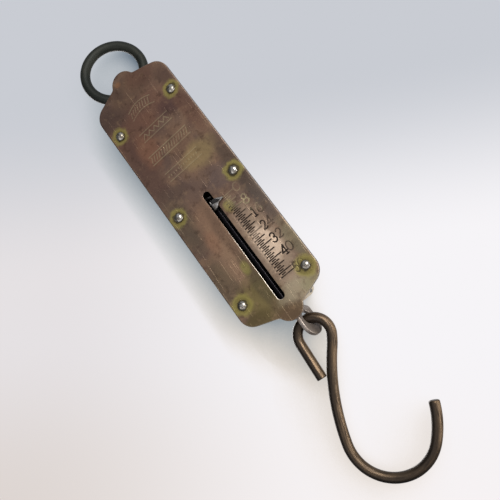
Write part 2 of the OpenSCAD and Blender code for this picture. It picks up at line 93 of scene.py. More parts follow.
class Recipe:
    """A node tree, written a line at a time."""

    def __init__(self, tree):
        self.tree = tree
        tree.nodes.clear()

    def add(self, kind, inputs=(), **settings):
        node = self.tree.nodes.new(kind)
        for name, value in settings.items():
            setattr(node, name, value)
        for name, value in dict(inputs).items():
            self.put(value, node.inputs[name])
        return node

    def put(self, value, socket):
        if isinstance(value, bpy.types.NodeSocket):
            self.tree.links.new(value, socket)
        else:
            socket.default_value = value

    def where(self):
        return self.add("ShaderNodeTexCoord").outputs["Object"]

    def axes(self, vector):
        return self.add("ShaderNodeSeparateXYZ", {0: vector}).outputs

    def spread(self, value, low, high, to_low=0.0, to_high=1.0, kind="SMOOTHSTEP"):
        return self.add("ShaderNodeMapRange", {"Value": value, "From Min": low, "From Max": high, "To Min": to_low,
                                               "To Max": to_high}, interpolation_type=kind).outputs["Result"]

    def maths(self, operation, a, b=0.0, c=0.0):
        node = self.add("ShaderNodeMath", operation=operation)
        for value, socket in zip((a, b, c), node.inputs):
            self.put(value, socket)
        return node.outputs[0]

    def times(self, a, b):
        return self.maths("MULTIPLY", a, b)

    def vector(self, operation, a, b=(0, 0, 0)):
        node = self.add("ShaderNodeVectorMath", {0: a, 1: b}, operation=operation)
        return node.outputs["Value" if operation in ("DOT_PRODUCT", "LENGTH") else "Vector"]

    def over(self, amount, under, colour, way="MIX"):
        node = self.add("ShaderNodeMix", data_type="RGBA", blend_type=way, clamp_factor=True)
        for value, socket in ((amount, 0), (under, 6), (colour, 7)):
            self.put(linear(*value) if isinstance(value, tuple) else value, node.inputs[socket])
        return node.outputs[2]

    def tinted(self, under, value, low, high, colour, most=1.0, way="MIX"):
        """A colour laid over another, from none of it to the most as value goes from low to high."""
        return self.over(self.spread(value, low, high, 0.0, most), under, colour, way)


# The room is pale: bluer overhead, whiter to the right and a little warmer towards the lower left
world = bpy.data.worlds.new("room")
bpy.context.scene.world = world
world.use_nodes = True
room = Recipe(world.node_tree)
way = room.add("ShaderNodeTexCoord").outputs["Generated"]
aside, upward = room.vector("DOT_PRODUCT", way, ASIDE), room.vector("DOT_PRODUCT", way, UPWARD)
middle_tone = room.tinted((229, 225, 227), aside, -0.30, 0.10, (246, 244, 247))
foot_tone = room.tinted((221, 213, 209), aside, -0.36, 0.16, (246, 242, 243))
low_tone = room.over(room.spread(upward, -0.12, -0.36), middle_tone, foot_tone)
shift = room.maths("MULTIPLY_ADD", aside, -0.12, upward)
card_tone = room.tinted(low_tone, shift, -0.02, 0.25, (201, 204, 211))
seen = room.add("ShaderNodeLightPath").outputs
shown = room.maths("MAXIMUM", seen["Is Camera Ray"], room.maths(
    "MAXIMUM", seen["Is Glossy Ray"], seen["Is Transmission Ray"]))
shown_room = room.add("ShaderNodeBackground", {"Color": card_tone, "Strength": 1.0})
lit_room = room.add("ShaderNodeBackground", {"Color": linear(228, 232, 240), "Strength": 0.5})
either = room.add("ShaderNodeMixShader", {0: shown, 1: lit_room.outputs[0], 2: shown_room.outputs[0]})
room.add("ShaderNodeOutputWorld", {"Surface": either.outputs[0]})


def placed(name, data):
    """A new object of the scene."""
    thing = bpy.data.objects.new(name, data)
    bpy.context.collection.objects.link(thing)
    return thing


def mesh_of(name, points, edges, faces):
    mesh = bpy.data.meshes.new(name)
    mesh.from_pydata(points, edges, faces)
    return mesh


def flat_sheet(name, corners, recipe_of):
    """A flat sheet of the stage."""
    material = bpy.data.materials.new(name + "_surface")
    material.use_nodes = True
    recipe_of(Recipe(material.node_tree))
    sheet = placed(name, mesh_of(name, corners, [], [(0, 1, 2, 3)]))
    sheet.data.materials.append(material)
    sheet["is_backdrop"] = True
    return sheet


def card_paper(paper):
    """Clear where nothing stands near, and a painted shadow where the scale would keep the window's light from the
    card: cool grey near it, cream at its pale edge lower down, and darker where it nearly touches.
    """
    to_window = paper.add("ShaderNodeNormal").outputs["Normal"]
    to_window.default_value = Vector((0.90, -0.42, 0.10)).normalized()

    def open_to_window(reach, samples):
        return paper.add("ShaderNodeAmbientOcclusion", {"Distance": reach, "Normal": to_window},
                         samples=samples).outputs["AO"]

    facing = paper.maths("SUBTRACT", 1.0, paper.add("ShaderNodeNewGeometry").outputs["Backfacing"])
    seen = paper.times(facing, paper.add("ShaderNodeLightPath").outputs["Is Camera Ray"])
    shade = paper.maths("POWER", paper.spread(open_to_window(0.030, 24), 0.96, 0.34, kind="LINEAR"), 1.25)
    shade = paper.times(shade, seen)
    contact = paper.times(paper.spread(open_to_window(0.009, 16), 0.9, 0.3, 0, 0.75), seen)
    height = paper.axes(paper.where())["Z"]
    cream = paper.tinted((246, 237, 222), height, -0.19, -0.08, (247, 250, 248))
    tint = paper.over(paper.spread(shade, 0.0, 0.3, kind="LINEAR"), (255, 255, 255), cream)
    tint = paper.over(paper.spread(shade, 0.08, 1.0, kind="LINEAR"), tint, (128, 145, 153))
    tint = paper.over(contact, tint, (190, 200, 214), "MULTIPLY")
    clear = paper.add("ShaderNodeBsdfTransparent", {"Color": tint})
    paper.add("ShaderNodeOutputMaterial", {"Surface": clear.outputs[0]})


flat_sheet("card", [(-CARD_SIDE, CARD_Y, CARD_FOOT), (CARD_SIDE, CARD_Y, CARD_FOOT),
                    (CARD_SIDE, CARD_Y, CARD_HEAD), (-CARD_SIDE, CARD_Y, CARD_HEAD)], card_paper)


def grey_cloth(cloth):
    felt = cloth.add("ShaderNodeBsdfDiffuse", {"Color": linear(96, 97, 100)})
    cloth.add("ShaderNodeOutputMaterial", {"Surface": felt.outputs[0]})


# Two grey cloths stand beside the scale and one below it. Only polished metal shows them, along its edges
for name, side, along, reach in (("cloth_right", ASIDE, UPWARD, 0.34), ("cloth_left", -ASIDE, UPWARD, 0.40),
                                 ("cloth_below", -UPWARD, ASIDE, 0.34)):
    middle, deep = HEART + side * reach, ASIDE.cross(UPWARD)
    cloth = flat_sheet(name, [tuple(middle + along * a * CLOTH_LONG + deep * b * CLOTH_DEEP)
                              for a, b in ((-1, -1), (1, -1), (1, 1), (-1, 1))], grey_cloth)
    cloth.visible_camera = cloth.visible_diffuse = cloth.visible_shadow = cloth.visible_transmission = False


def lamp(name, place, width, height, power, colour):
    """A soft flat lamp at place, turned to the scale, that the camera doesn't see."""
    light = bpy.data.lights.new(name, "AREA")
    light.shape, light.size, light.size_y = "RECTANGLE", width, height
    light.energy, light.color = power, colour
    thing = placed(name, light)
    thing.location = place
    thing.rotation_euler = (HEART - Vector(place)).to_track_quat("-Z", "Y").to_euler()
    thing.visible_camera = False


lamp("window_light", (0.45, -0.66, 0.02), 0.45, 0.45, 7.0, (1.0, 0.98, 0.95))
lamp("low_light", (0.60, -0.08, -0.58), 0.3, 0.5, 5.0, (1.0, 0.97, 0.93))
lamp("fill_light", (-0.55, -0.55, -0.35), 0.6, 0.6, 1.6, (0.86, 0.92, 1.0))
lamp("back_light", (-0.45, 0.75, 0.25), 0.6, 0.6, 5.0, (1.0, 0.98, 0.95))

eye = bpy.data.cameras.new("camera")
eye.lens, eye.sensor_width = 46.8, 36
viewer = placed("camera", eye)
viewer.matrix_world = Matrix.Translation((0.06862, -0.28396, -0.20181)) @ Matrix(
    (ASIDE, UPWARD, NEARER)).transposed().to_4x4()
bpy.context.scene.camera = viewer
bpy.context.scene.view_settings.view_transform = "Standard"

# ---- Back of the case ----
# A trough with a flange on each side that matches the face plate, pressed from one sheet of brass, notched for
# the ring's eye above and pierced for the bar in its closed end. It was never lacquered, so it has dulled to a
# brown-yellow, darker in the bends; within it is painted near-black, for grease and the shade inside the case.
face_low, face_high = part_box("front_plate")
FACE_Y, MIDDLE_Z = face_low.y / MM, (face_low.z + face_high.z) / 2 / MM
FACE_W, FACE_H, FACE_T = 44.4, 149.2, 1.0
CORNER_R, CORNER_Z, TAB_R, HOLLOW_R, SHOULDER_RISE = 7.5, 59.3, 6.8, 2.0, 2.6
SHEET_T, CASE_D, TROUGH_W, TROUGH_END, MOUTH_Z = 0.9, 13.8, 25.0, 68.8, 63.0
BACK_R, BEND_R, PLAN_R = 3.5, 1.2, 3.9
# Towards the closed end the flange runs out, and it is cut off where less than this share of it is left
FLANGE_START, FLANGE_FULL = 0.6, 0.55
NOTCH_X, NOTCH_Z, NOTCH_R = 7.0, 57.5, 3.0
CUT_X, CUT_Z = 15.5, -68.3
BACK_HALF, BACK_FOOT, BACK_HEAD, BACK_DENT = 8.0, -63.5, 56.0, 0.22
MID_Y = (FACE_T + CASE_D - SHEET_T) / 2
FIT = 0.04  # how much wider a riveted hole is than its pin, in radius
RIVETS = [(-17.2, 48.6), (17.2, 48.6), (-17.2, -3.2), (17.2, -3.2), (-17.2, -54.9), (17.2, -58.5)]
RIVET_R = 1.2
EYE_Y, PIN_Z, PIN_R = 8.0, 58.2, 1.5
END_BORE_R = 4.42


def in_row(points):
    """Points measured in millimetres from the middle of the face, y behind it, as metres in the row frame."""
    return (np.array(points, float).reshape(-1, 3) + (0, FACE_Y, MIDDLE_Z)) * MM


class Metal(Recipe):
    """A new material's recipe with its metal shader, whose plain sockets are set here once."""

    def __init__(self, name, roughness, metallic=0.9):
        self.material = bpy.data.materials.new(name)
        self.material.use_nodes = True
        super().__init__(self.material.node_tree)
        self.shader = self.add("ShaderNodeBsdfPrincipled", {"Metallic": metallic, "Roughness": roughness})
        self.add("ShaderNodeOutputMaterial", {"Surface": self.shader.outputs[0]})

    def grain(self, point, per_metre, detail=4.0, rough=0.55, skew=0.0):
        return self.add("ShaderNodeTexNoise", {"Vector": point, "Scale": per_metre, "Detail": detail,
                                               "Roughness": rough, "Distortion": skew}).outputs["Fac"]

    def level(self, value):
        """Noise that ran from 0 to 1, about 0."""
        return self.maths("SUBTRACT", value, 0.5)

    def drawn_out(self, point, scale, turn=(0, 0, 0)):
        return self.add("ShaderNodeMapping", {"Vector": point, "Rotation": turn, "Scale": scale}).outputs[0]

    def apart(self, point, place, scale=(1, 0, 1)):
        """How far a point lies from a place in millimetres, with each axis counted as scale says."""
        gap = self.vector("SUBTRACT", point, [v * MM for v in place])
        return self.vector("LENGTH", self.vector("MULTIPLY", gap, scale))

    def noted(self, name, kind="Fac"):
        """What the mesh keeps under that name."""
        return self.add("ShaderNodeAttribute", attribute_name=name).outputs[kind]

    def scratches(self, point, turn, per_metre, thin):
        """Fine straight scratches that lie at an angle in the x-z plane, 1 in a scratch."""
        along = self.drawn_out(point, (1.0, 1.0, 0.035), (0, turn, 0))
        return self.spread(self.grain(along, per_metre, 2.0, 0.6), 0.66, 0.66 + thin)

    def surface(self, tone, height, depth_mm, cloud=None, rough=()):
        """The colour, a fine relief of that depth, where height runs from 0 to 1, and a roughness that follows
        the same cloud as the colour."""
        self.put(tone, self.shader.inputs["Base Color"])
        bump = self.add("ShaderNodeBump", {"Height": height, "Strength": 1.0, "Distance": depth_mm * MM})
        self.put(bump.outputs[0], self.shader.inputs["Normal"])
        if cloud is not None:
            self.put(self.spread(cloud, 0.3, 0.7, *rough), self.shader.inputs["Roughness"])


def arc(centre, radius, start, stop, step, outward=1):
    """Points on an arc with the way out of the metal at each: rows of x, z, nx, nz. Angles are in degrees."""
    count = max(2, int(math.ceil(abs(math.radians(stop - start)) * radius / step)) + 1)
    turns = [math.radians(start + (stop - start) * i / (count - 1)) for i in range(count)]
    return [(centre[0] + radius * math.cos(a), centre[1] + radius * math.sin(a),
             outward * math.cos(a), outward * math.sin(a)) for a in turns]


def straight(start, stop, out, step):
    """Points between the two ends of a straight edge, without the ends."""
    (x0, z0), (x1, z1) = start, stop
    count = max(1, int(round(math.hypot(x1 - x0, z1 - z0) / step)))
    return [(x0 + (x1 - x0) * i / count, z0 + (z1 - z0) * i / count, *out) for i in range(1, count)]


def mirrored(rows):
    """The same edge on the other side, run the other way."""
    return [(-x, z, -nx, nz) for x, z, nx, nz in reversed(rows)]


def face_outline(step):
    """The outline that plate and flange share, counter-clockwise, as rows of x, z, nx, nz."""
    corner_x, tab_z = FACE_W / 2 - CORNER_R, FACE_H / 2 - TAB_R
    slope = math.atan(SHOULDER_RISE / (corner_x - TAB_R))
    touch = (corner_x + CORNER_R * math.sin(slope), CORNER_Z + CORNER_R * math.cos(slope))
    low, high = 0.0, TAB_R + 2 * HOLLOW_R
    for _ in range(40):
        x = (low + high) / 2
        z = touch[1] + (touch[0] - x) * math.tan(slope) + HOLLOW_R / math.cos(slope)
        low, high = (low, x) if math.hypot(x, z - tab_z) > TAB_R + HOLLOW_R else (x, high)
    tab_angle = math.degrees(math.atan2(z - tab_z, x))
    up = 90 - math.degrees(slope)
    foot = (x - HOLLOW_R * math.cos(math.radians(up)), z - HOLLOW_R * math.sin(math.radians(up)))
    right = arc((corner_x, CORNER_Z), CORNER_R, 0, up, step)
    right += straight(right[-1][:2], foot, (math.sin(slope), math.cos(slope)), step)
    right += arc((x, z), HOLLOW_R, up + 180, tab_angle + 180, step / 2, outward=-1)
    right += arc((0, tab_z), TAB_R, tab_angle, 90, step)[1:]
    half = right + mirrored(right[:-1])
    half += straight((-FACE_W / 2, CORNER_Z), (-FACE_W / 2, -CORNER_Z), (-1, 0), step)
    return half + [(-x, -z, -nx, -nz) for x, z, nx, nz in half]


def hole_edge(x, z, r, count=40):
    """A round hole's edge, clockwise, its ways out of the metal pointing into the hole."""
    turns = [-2 * math.pi * i / count for i in range(count)]
    return [(x + r * math.cos(a), z + r * math.sin(a), -math.cos(a), -math.sin(a)) for a in turns]


def eased(values, low, high):
    """0 up to low, 1 from high and a smooth rise between."""
    t = np.clip((values - low) / (high - low), 0, 1)
    return t * t * (3 - 2 * t)


def within(points, loop):
    """Which points lie inside a closed loop."""
    low, high = loop.min(0), loop.max(0)
    near = np.all((points >= low) & (points <= high), axis=1)
    found = np.zeros(len(points), bool)
    some = points[near]
    count = np.zeros(len(some), int)
    for a, b in zip(loop, np.roll(loop, -1, 0)):
        if a[1] != b[1]:
            crosses = (a[1] > some[:, 1]) != (b[1] > some[:, 1])
            count += crosses & (some[:, 0] < a[0] + (some[:, 1] - a[1]) * (b[0] - a[0]) / (b[1] - a[1]))
    found[near] = count % 2 == 1
    return found


def fill(loops, inside):
    """Triangles over the flat region inside loops[0] and outside the other loops, with points spread in it:
    rows of three indices into all the loops' points and then those inside, counter-clockwise in x and z."""
    flat = np.vstack([*loops, np.array(inside, float).reshape(-1, 2)])
    runs, start = [], 0
    for loop in loops:
        runs += [(start + i, start + (i + 1) % len(loop)) for i in range(len(loop))]
        start += len(loop)
    out = delaunay_2d_cdt([Vector(p) for p in flat], runs, [], 1, 1e-7, True)
    came = [c[0] for c in out[3]]
    tris = np.array([[came[v] for v in f] for f in out[2]])
    middle = flat[tris].mean(1)
    keep = within(middle, loops[0])
    for hole in loops[1:]:
        keep &= ~within(middle, hole)
    return tris[keep]


def freeze(thing):
    """The object's mesh as its modifiers leave it, as a plain mesh."""
    bpy.context.view_layer.update()
    graph = bpy.context.evaluated_depsgraph_get()
    mesh = bpy.data.meshes.new_from_object(thing.evaluated_get(graph), depsgraph=graph)
    thing.modifiers.clear()
    mesh.name = thing.name
    thing.data = mesh


def tidy_mesh(mesh, sharp):
    """Doubles merged, faces outwards, smooth except at edges sharper than the angle."""
    form = bmesh.new()
    form.from_mesh(mesh)
    bmesh.ops.remove_doubles(form, verts=form.verts, dist=2e-7)
    bmesh.ops.recalc_face_normals(form, faces=form.faces)
    form.to_mesh(mesh)
    form.free()
    mesh.shade_smooth()
    mesh.set_sharp_from_angle(angle=math.radians(sharp))


def note(mesh, name, values):
    """A number for each point, kept on the mesh."""
    mesh.attributes.new(name, "FLOAT", "POINT").data.foreach_set("value", np.array(values, np.float32))


def piece(name, verts, faces, materials, sharp=30, **notes):
    """A mesh object in the row frame, with the numbers that are noted for its points."""
    mesh = mesh_of(name, in_row(verts).tolist(), [], [tuple(map(int, f)) for f in faces])
    for label, values in notes.items():
        note(mesh, label, values)
    tidy_mesh(mesh, sharp)
    for material in materials:
        mesh.materials.append(material)
    return placed(name, mesh)


def finished(thing, body, slot, *nodes):
    """A piece that moves with that body and stands for those nodes."""
    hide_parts(*nodes)
    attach(thing, body)


brass = Metal("dulled_brass", 0.42)
point = brass.where()
here = brass.vector("SUBTRACT", point, (0, 0, MIDDLE_Z * MM))
cloud = brass.grain(point, 55, 5, 0.6, 0.4)
tone = brass.tinted((176, 150, 96), cloud, 0.36, 0.62, (128, 100, 66))
tone = brass.tinted(tone, brass.grain(point, 140, 5, 0.6), 0.56, 0.72, (92, 74, 56))
tone = brass.over(brass.times(brass.scratches(point, 0.3, 900, 0.03), 0.5), tone, (206, 186, 136))
# The corners of the trough are paler. The flange and the bends next to the plate are darker, and one small dent is
# painted black, painted shade in its hollow
corner = brass.apart(brass.vector("ABSOLUTE", here), (10.5, 0, 66.5))
corner = brass.maths("MULTIPLY_ADD", brass.level(brass.grain(point, 300, 4)), 4 * MM, corner)
tone = brass.tinted(tone, corner, 5 * MM, 3 * MM, (212, 198, 168), 0.75)
tone = brass.tinted(tone, brass.axes(point)["Y"], (FACE_Y + 3.8) * MM, (FACE_Y + 2.2) * MM, (70, 58, 46), 0.85)
dent = brass.apart(point, (10.9, FACE_Y + 6.5, MIDDLE_Z - 68.1), (1, 0.45, 1))
tone = brass.tinted(tone, dent, 1.1 * MM, 0.7 * MM, (24, 20, 18), 0.95)
rough_brass = brass.maths("ADD", brass.grain(point, 700, 3), brass.scratches(point, -0.5, 700, 0.04))
brass.surface(tone, rough_brass, 0.05, cloud, (0.34, 0.52))

# The inside of the trough: near-black, painted shade inside the case together with grease
grease_and_inner_shade = Metal("black_grease", 0.7, 0.1)
point = grease_and_inner_shade.where()
tone = grease_and_inner_shade.tinted((24, 23, 24), grease_and_inner_shade.grain(point, 220, 5, 0.6), 0.42, 0.62, (36, 30, 24))
grease_and_inner_shade.surface(tone, grease_and_inner_shade.grain(point, 900, 4), 0.06)

# The trough's plan, from the left end of its mouth round its closed end to the right
wall = TROUGH_W / 2
left_side = [(-wall, MOUTH_Z, -1, 0)] + straight((-wall, MOUTH_Z), (-wall, PLAN_R - TROUGH_END), (-1, 0), 2.0)
left_side += arc((PLAN_R - wall, PLAN_R - TROUGH_END), PLAN_R, 180, 270, 0.45)
left_side += straight((PLAN_R - wall, -TROUGH_END), (0, -TROUGH_END), (0, -1), 1.2)
plan = np.array(left_side + [(0, -TROUGH_END, 0, -1)] + mirrored(left_side))
# 1 along the sides, where a flange joins, and 0 along the closed end, where the wall stops at the plate
joined = eased(plan[:, 1], FLANGE_START - TROUGH_END, PLAN_R - TROUGH_END)
# Its section, as how far each level of the wall lies out of the plan and how deep
zero, wall_y = np.zeros(len(plan)), FACE_T + SHEET_T + BEND_R
start_y = FACE_T + SHEET_T * np.minimum(1, joined / FLANGE_FULL)
section = [(BEND_R * joined * (1 - math.sin(a)), start_y + (wall_y - start_y) * (1 - math.cos(a)))
           for a in np.linspace(0, math.pi / 2, 6)]
section += [(zero, zero + deep) for deep in np.linspace(wall_y, CASE_D - BACK_R, 5)[1:-1]]
section += [(zero - BACK_R * (1 - math.cos(a)), zero + CASE_D - BACK_R + BACK_R * math.sin(a))
            for a in np.linspace(0, math.pi / 2, 9)]
sheets = [np.column_stack([plan[:, 0] + plan[:, 2] * out, deep, plan[:, 1] + plan[:, 3] * out])
          for out, deep in section]
verts, faces, count = np.vstack(sheets).tolist(), [], len(plan)
for start in range(0, (len(sheets) - 1) * count, count):
    faces += [(start + i, start + i + 1, start + count + i + 1, start + count + i) for i in range(count - 1)]
# The back, notched behind the ring's eye
notch = [(NOTCH_X, MOUTH_Z)]
notch += [row[:2] for row in arc((NOTCH_X - NOTCH_R, NOTCH_Z + NOTCH_R), NOTCH_R, 0, -90, 0.6)]
notch += [(-x, z) for x, z in reversed(notch)]
back_edge = np.vstack([sheets[-1][:, [0, 2]], notch])
spots = [(x, z) for x in np.arange(-BACK_HALF, BACK_HALF + 0.1, 2) for z in np.arange(BACK_FOOT, BACK_HEAD, 2)]
base = len(verts)
verts += [(x, CASE_D, z) for x, z in back_edge]
verts += [(x, CASE_D - BACK_DENT * abs(noise.noise(Vector((x / 9, 1.7, z / 14)))), z) for x, z in spots]
faces += [tuple(base + tri) for tri in fill([back_edge], spots)]
# The flanges, cut away beside the mouth and below the closed end
outline = np.array(face_outline(1.2))[:, :2]
on_left, low_down = outline[:, 0] < 0, outline[:, 1] < 0
part = outline[(outline[:, 0] < -CUT_X) | (on_left & low_down & (outline[:, 1] > CUT_Z))]
along = sheets[0][:int(np.argmin(joined > FLANGE_FULL))][:, [0, 2]]
top_z = np.interp(-CUT_X, *outline[on_left & (outline[:, 1] > MOUTH_Z - CORNER_R)][::-1].T)
flange = np.vstack([[(-CUT_X, top_z)], part, along[::-1], [(-CUT_X, MOUTH_Z)]])
for side in (1, -1):
    base = len(verts)
    holes = [np.array(hole_edge(side * x, z, RIVET_R + FIT))[:, :2] for x, z in RIVETS if side * x < 0]
    verts += [(side * x, FACE_T + SHEET_T, z) for x, z in np.vstack([flange, *holes])]
    faces += [tuple(base + tri) for tri in fill([flange, *holes], [])]
shell = piece("pressed_case", verts, faces, [brass.material, grease_and_inner_shade.material])
rearmost = max(shell.data.polygons, key=lambda f: f.center.y)
if rearmost.normal.y < 0:
    shell.data.flip_normals()
sheet = shell.modifiers.new("sheet", "SOLIDIFY")
sheet.thickness, sheet.offset, sheet.material_offset, sheet.material_offset_rim = SHEET_T * MM, -1, 1, 0
freeze(shell)


def drill(thing, start, stop, radius):
    """A round hole through a piece between two points in millimetres."""
    start, stop = [Vector(p) for p in in_row([start, stop])]
    bore = placed("drill", bpy.data.meshes.new("drill"))
    form = bmesh.new()
    turn = (stop - start).to_track_quat("Z", "Y").to_matrix().to_4x4()
    bmesh.ops.create_cone(form, cap_ends=True, segments=48, radius1=radius * MM, radius2=radius * MM,
                          depth=(stop - start).length, matrix=Matrix.Translation((start + stop) / 2) @ turn)
    form.to_mesh(bore.data)
    form.free()
    step = thing.modifiers.new("drill", "BOOLEAN")
    step.operation, step.solver, step.object = "DIFFERENCE", "EXACT", bore
    freeze(thing)
    bpy.data.objects.remove(bore)


drill(shell, (0, MID_Y, -75), (0, MID_Y, -60), END_BORE_R)
drill(shell, (-20, EYE_Y, PIN_Z), (20, EYE_Y, PIN_Z), PIN_R + FIT)
tidy_mesh(shell.data, 35)
finished(shell, "case", "shell", "back_shell")

# ---- Ring's eye ----
# A flat steel link, drop-forged and then drilled: a round eye above for the ring, a hole below for the spring.
# It is held between the case's walls by the pin and stands square to the face.
EYE_T = 2.0
HOOP_Z, HOOP_R, HOOP_HOLE_R = 65.5, 5.7, 4.0
LINK_W, LINK_END, LINK_CORNER, LOOP_HOLE_Z, LOOP_HOLE_R = 8.6, 51.5, 1.6, 54.15, 1.35
# How round the edges in front and behind are: the outline's, the ring's eye, the spring's hole, a drilled hole
EASED, WORN_EYE, LOOP_EYE, BORED = (0.4, 0.4), (0.5, 0.5), (0.2, 0.2), (0.05, 0.05)


def blank(loops, rolls, thick, inside=(), steps=4):
    """A flat blank with rounded edges, as vertices (x, y, z), faces and 1 for each point on a front edge.
    loops[0] is its outline and the others are its holes. rolls holds each loop's front and back edge radius,
    the front one a number for the loop or for each point."""
    verts, faces, worn, sheets = [], [], [], []
    turns = np.linspace(0, math.pi / 2, steps + 1)
    for loop, (front, back) in zip(loops, rolls):
        rows = np.array(loop, float)
        zero, start, n = np.zeros(len(rows)), len(verts), len(rows)
        section = [(zero + front * (1 - math.sin(a)), zero + front * (1 - math.cos(a))) for a in turns]
        section += [(zero + back * (1 - math.cos(a)), zero + thick - back * (1 - math.sin(a))) for a in turns]
        these = [np.column_stack([rows[:, 0] - rows[:, 2] * out, deep, rows[:, 1] - rows[:, 3] * out])
                 for out, deep in section]
        for k, sheet in enumerate(these):
            verts.extend(sheet.tolist())
            worn.extend([1.0 if 0 < k <= steps else 0.0] * n)
            if k:
                above, below = start + (k - 1) * n, start + k * n
                faces += [(above + i, above + (i + 1) % n, below + (i + 1) % n, below + i) for i in range(n)]
        sheets.append((start, these))
    for level, extra in ((0, inside), (-1, ())):
        flat = [these[level][:, [0, 2]] for _, these in sheets]
        index = [start + (level % len(these)) * len(these[0]) + i
                 for start, these in sheets for i in range(len(these[0]))]
        index += range(len(verts), len(verts) + len(extra))
        depth = float(sheets[0][1][level][0][1])
        verts.extend([(x, depth, z) for x, z in extra])
        worn.extend([0.0] * len(extra))
        faces += [tuple(index[i] for i in tri) for tri in fill(flat, extra)]
    return np.array(verts, float), faces, worn


taupe = Metal("grey_brown_steel", 0.4, 0.75)
point = taupe.where()
cloud = taupe.grain(point, 260, 5, 0.65, 0.5)
tone = taupe.tinted((134, 124, 114), cloud, 0.38, 0.6, (92, 80, 72))
tone = taupe.tinted(tone, taupe.grain(point, 600, 4, 0.6), 0.58, 0.7, (70, 54, 44))
taupe.surface(tone, taupe.grain(point, 1500, 4, 0.7), 0.05, cloud, (0.32, 0.5))

step = 0.5
low_x, high_x, corner_z = MID_Y - LINK_W / 2, MID_Y + LINK_W / 2, LINK_END + LINK_CORNER
join = [math.degrees(math.asin(min(1, abs(x - EYE_Y) / HOOP_R))) for x in (high_x, low_x)]
link = arc((EYE_Y, HOOP_Z), HOOP_R, join[0] - 90, 270 - join[1], step)
link += [(low_x, link[-1][1] - 0.05, -1, 0)]
link += straight((low_x, link[-2][1]), (low_x, corner_z), (-1, 0), 1.5)
link += arc((low_x + LINK_CORNER, corner_z), LINK_CORNER, 180, 270, step)
link += arc((high_x - LINK_CORNER, corner_z), LINK_CORNER, 270, 360, step)
link += straight((high_x, corner_z), (high_x, link[0][1]), (1, 0), 1.5)
holes = [hole_edge(EYE_Y, HOOP_Z, HOOP_HOLE_R, 48), hole_edge(EYE_Y, PIN_Z, PIN_R + FIT, 32),
         hole_edge(MID_Y, LOOP_HOLE_Z, LOOP_HOLE_R, 24)]
verts, faces, _ = blank([link] + holes, [EASED, WORN_EYE, BORED, LOOP_EYE], EYE_T)
verts = np.column_stack([verts[:, 1] - EYE_T / 2, verts[:, 0], verts[:, 2]])
finished(piece("ring_link", verts, faces, [taupe.material]), "case", "steel", "ring_eye")

# ---- Pin through the case ----
# A steel pin that passes through both walls of the trough and the link, its two ends hammered over into low
# domes. The same worn steel serves for the rivets.
PIN_HEAD_R, PIN_HEAD_H = 2.5, 1.0


def turned(profile, sides=32):
    """A form turned about the y axis from rows of radius and y, both ends on the axis: vertices and faces."""
    turns = [2 * math.pi * i / sides for i in range(sides)]
    verts, faces, last = [(0, profile[0][1], 0)], [], None
    for radius, y in profile[1:-1]:
        base = len(verts)
        verts += [(radius * math.cos(a), y, radius * math.sin(a)) for a in turns]
        for i in range(sides):
            j = (i + 1) % sides
            faces.append((0, base + i, base + j) if last is None else (last + i, base + i, base + j, last + j))
        last = base
    verts.append((0, profile[-1][1], 0))
    faces += [(last + i, len(verts) - 1, last + (i + 1) % sides) for i in range(sides)]
    return np.array(verts, float), faces


def domed(radius, height, y, way, count=7):
    """Rows of a domed head from its middle out to its rim, a little rounded. way is the side that it faces."""
    turns = [math.pi / 2 * i / count for i in range(count + 1)]
    rows = [(radius * math.sin(a), y + way * height * (0.9 * math.cos(a) + 0.1)) for a in turns]
    return rows + [(0.97 * radius, y)]


steel = Metal("worn_steel", 0.26, 0.95)
point = steel.where()
cloud = steel.grain(point, 700, 5, 0.65, 0.4)
tone = steel.tinted((168, 164, 156), cloud, 0.4, 0.62, (104, 98, 86))
tone = steel.tinted(tone, steel.grain(point, 1600, 3, 0.6), 0.6, 0.7, (60, 50, 42))
steel.surface(tone, steel.grain(point, 1500, 2, 0.5), 0.03, cloud, (0.12, 0.26))

rows = domed(PIN_HEAD_R, PIN_HEAD_H, -wall, -1) + [(PIN_R, -wall), (PIN_R, wall)]
verts, faces = turned(rows + domed(PIN_HEAD_R, PIN_HEAD_H, wall, 1)[::-1])
verts = np.column_stack([verts[:, 1], EYE_Y + verts[:, 0], PIN_Z + verts[:, 2]])
finished(piece("case_pin", verts, faces, [steel.material]), "case", "steel", "anchor_pin")

# ---- Spring ----
# An extension spring of 1.7 mm steel wire, about 22 close coils with a bent-up loop at each end. The upper loop
# hangs in the link and the lower one holds the bar. The real one stretches as the bar is pulled down; this one is
# made at rest and doesn't move with the bar.
WIRE_R, COIL_R, LOOP_R, LOOP_RISE = 0.85, 4.6, 3.0, 2.6
COIL_TOP, COIL_BOTTOM, COIL_START, TURNS, LOOP_TURN = 45.75, -2.55, 180, 21.9556, 290
COIL_END = COIL_START + 360 * TURNS
TURN_STEPS, LOOP_STEPS, EASE_STEPS = 24, 30, 12


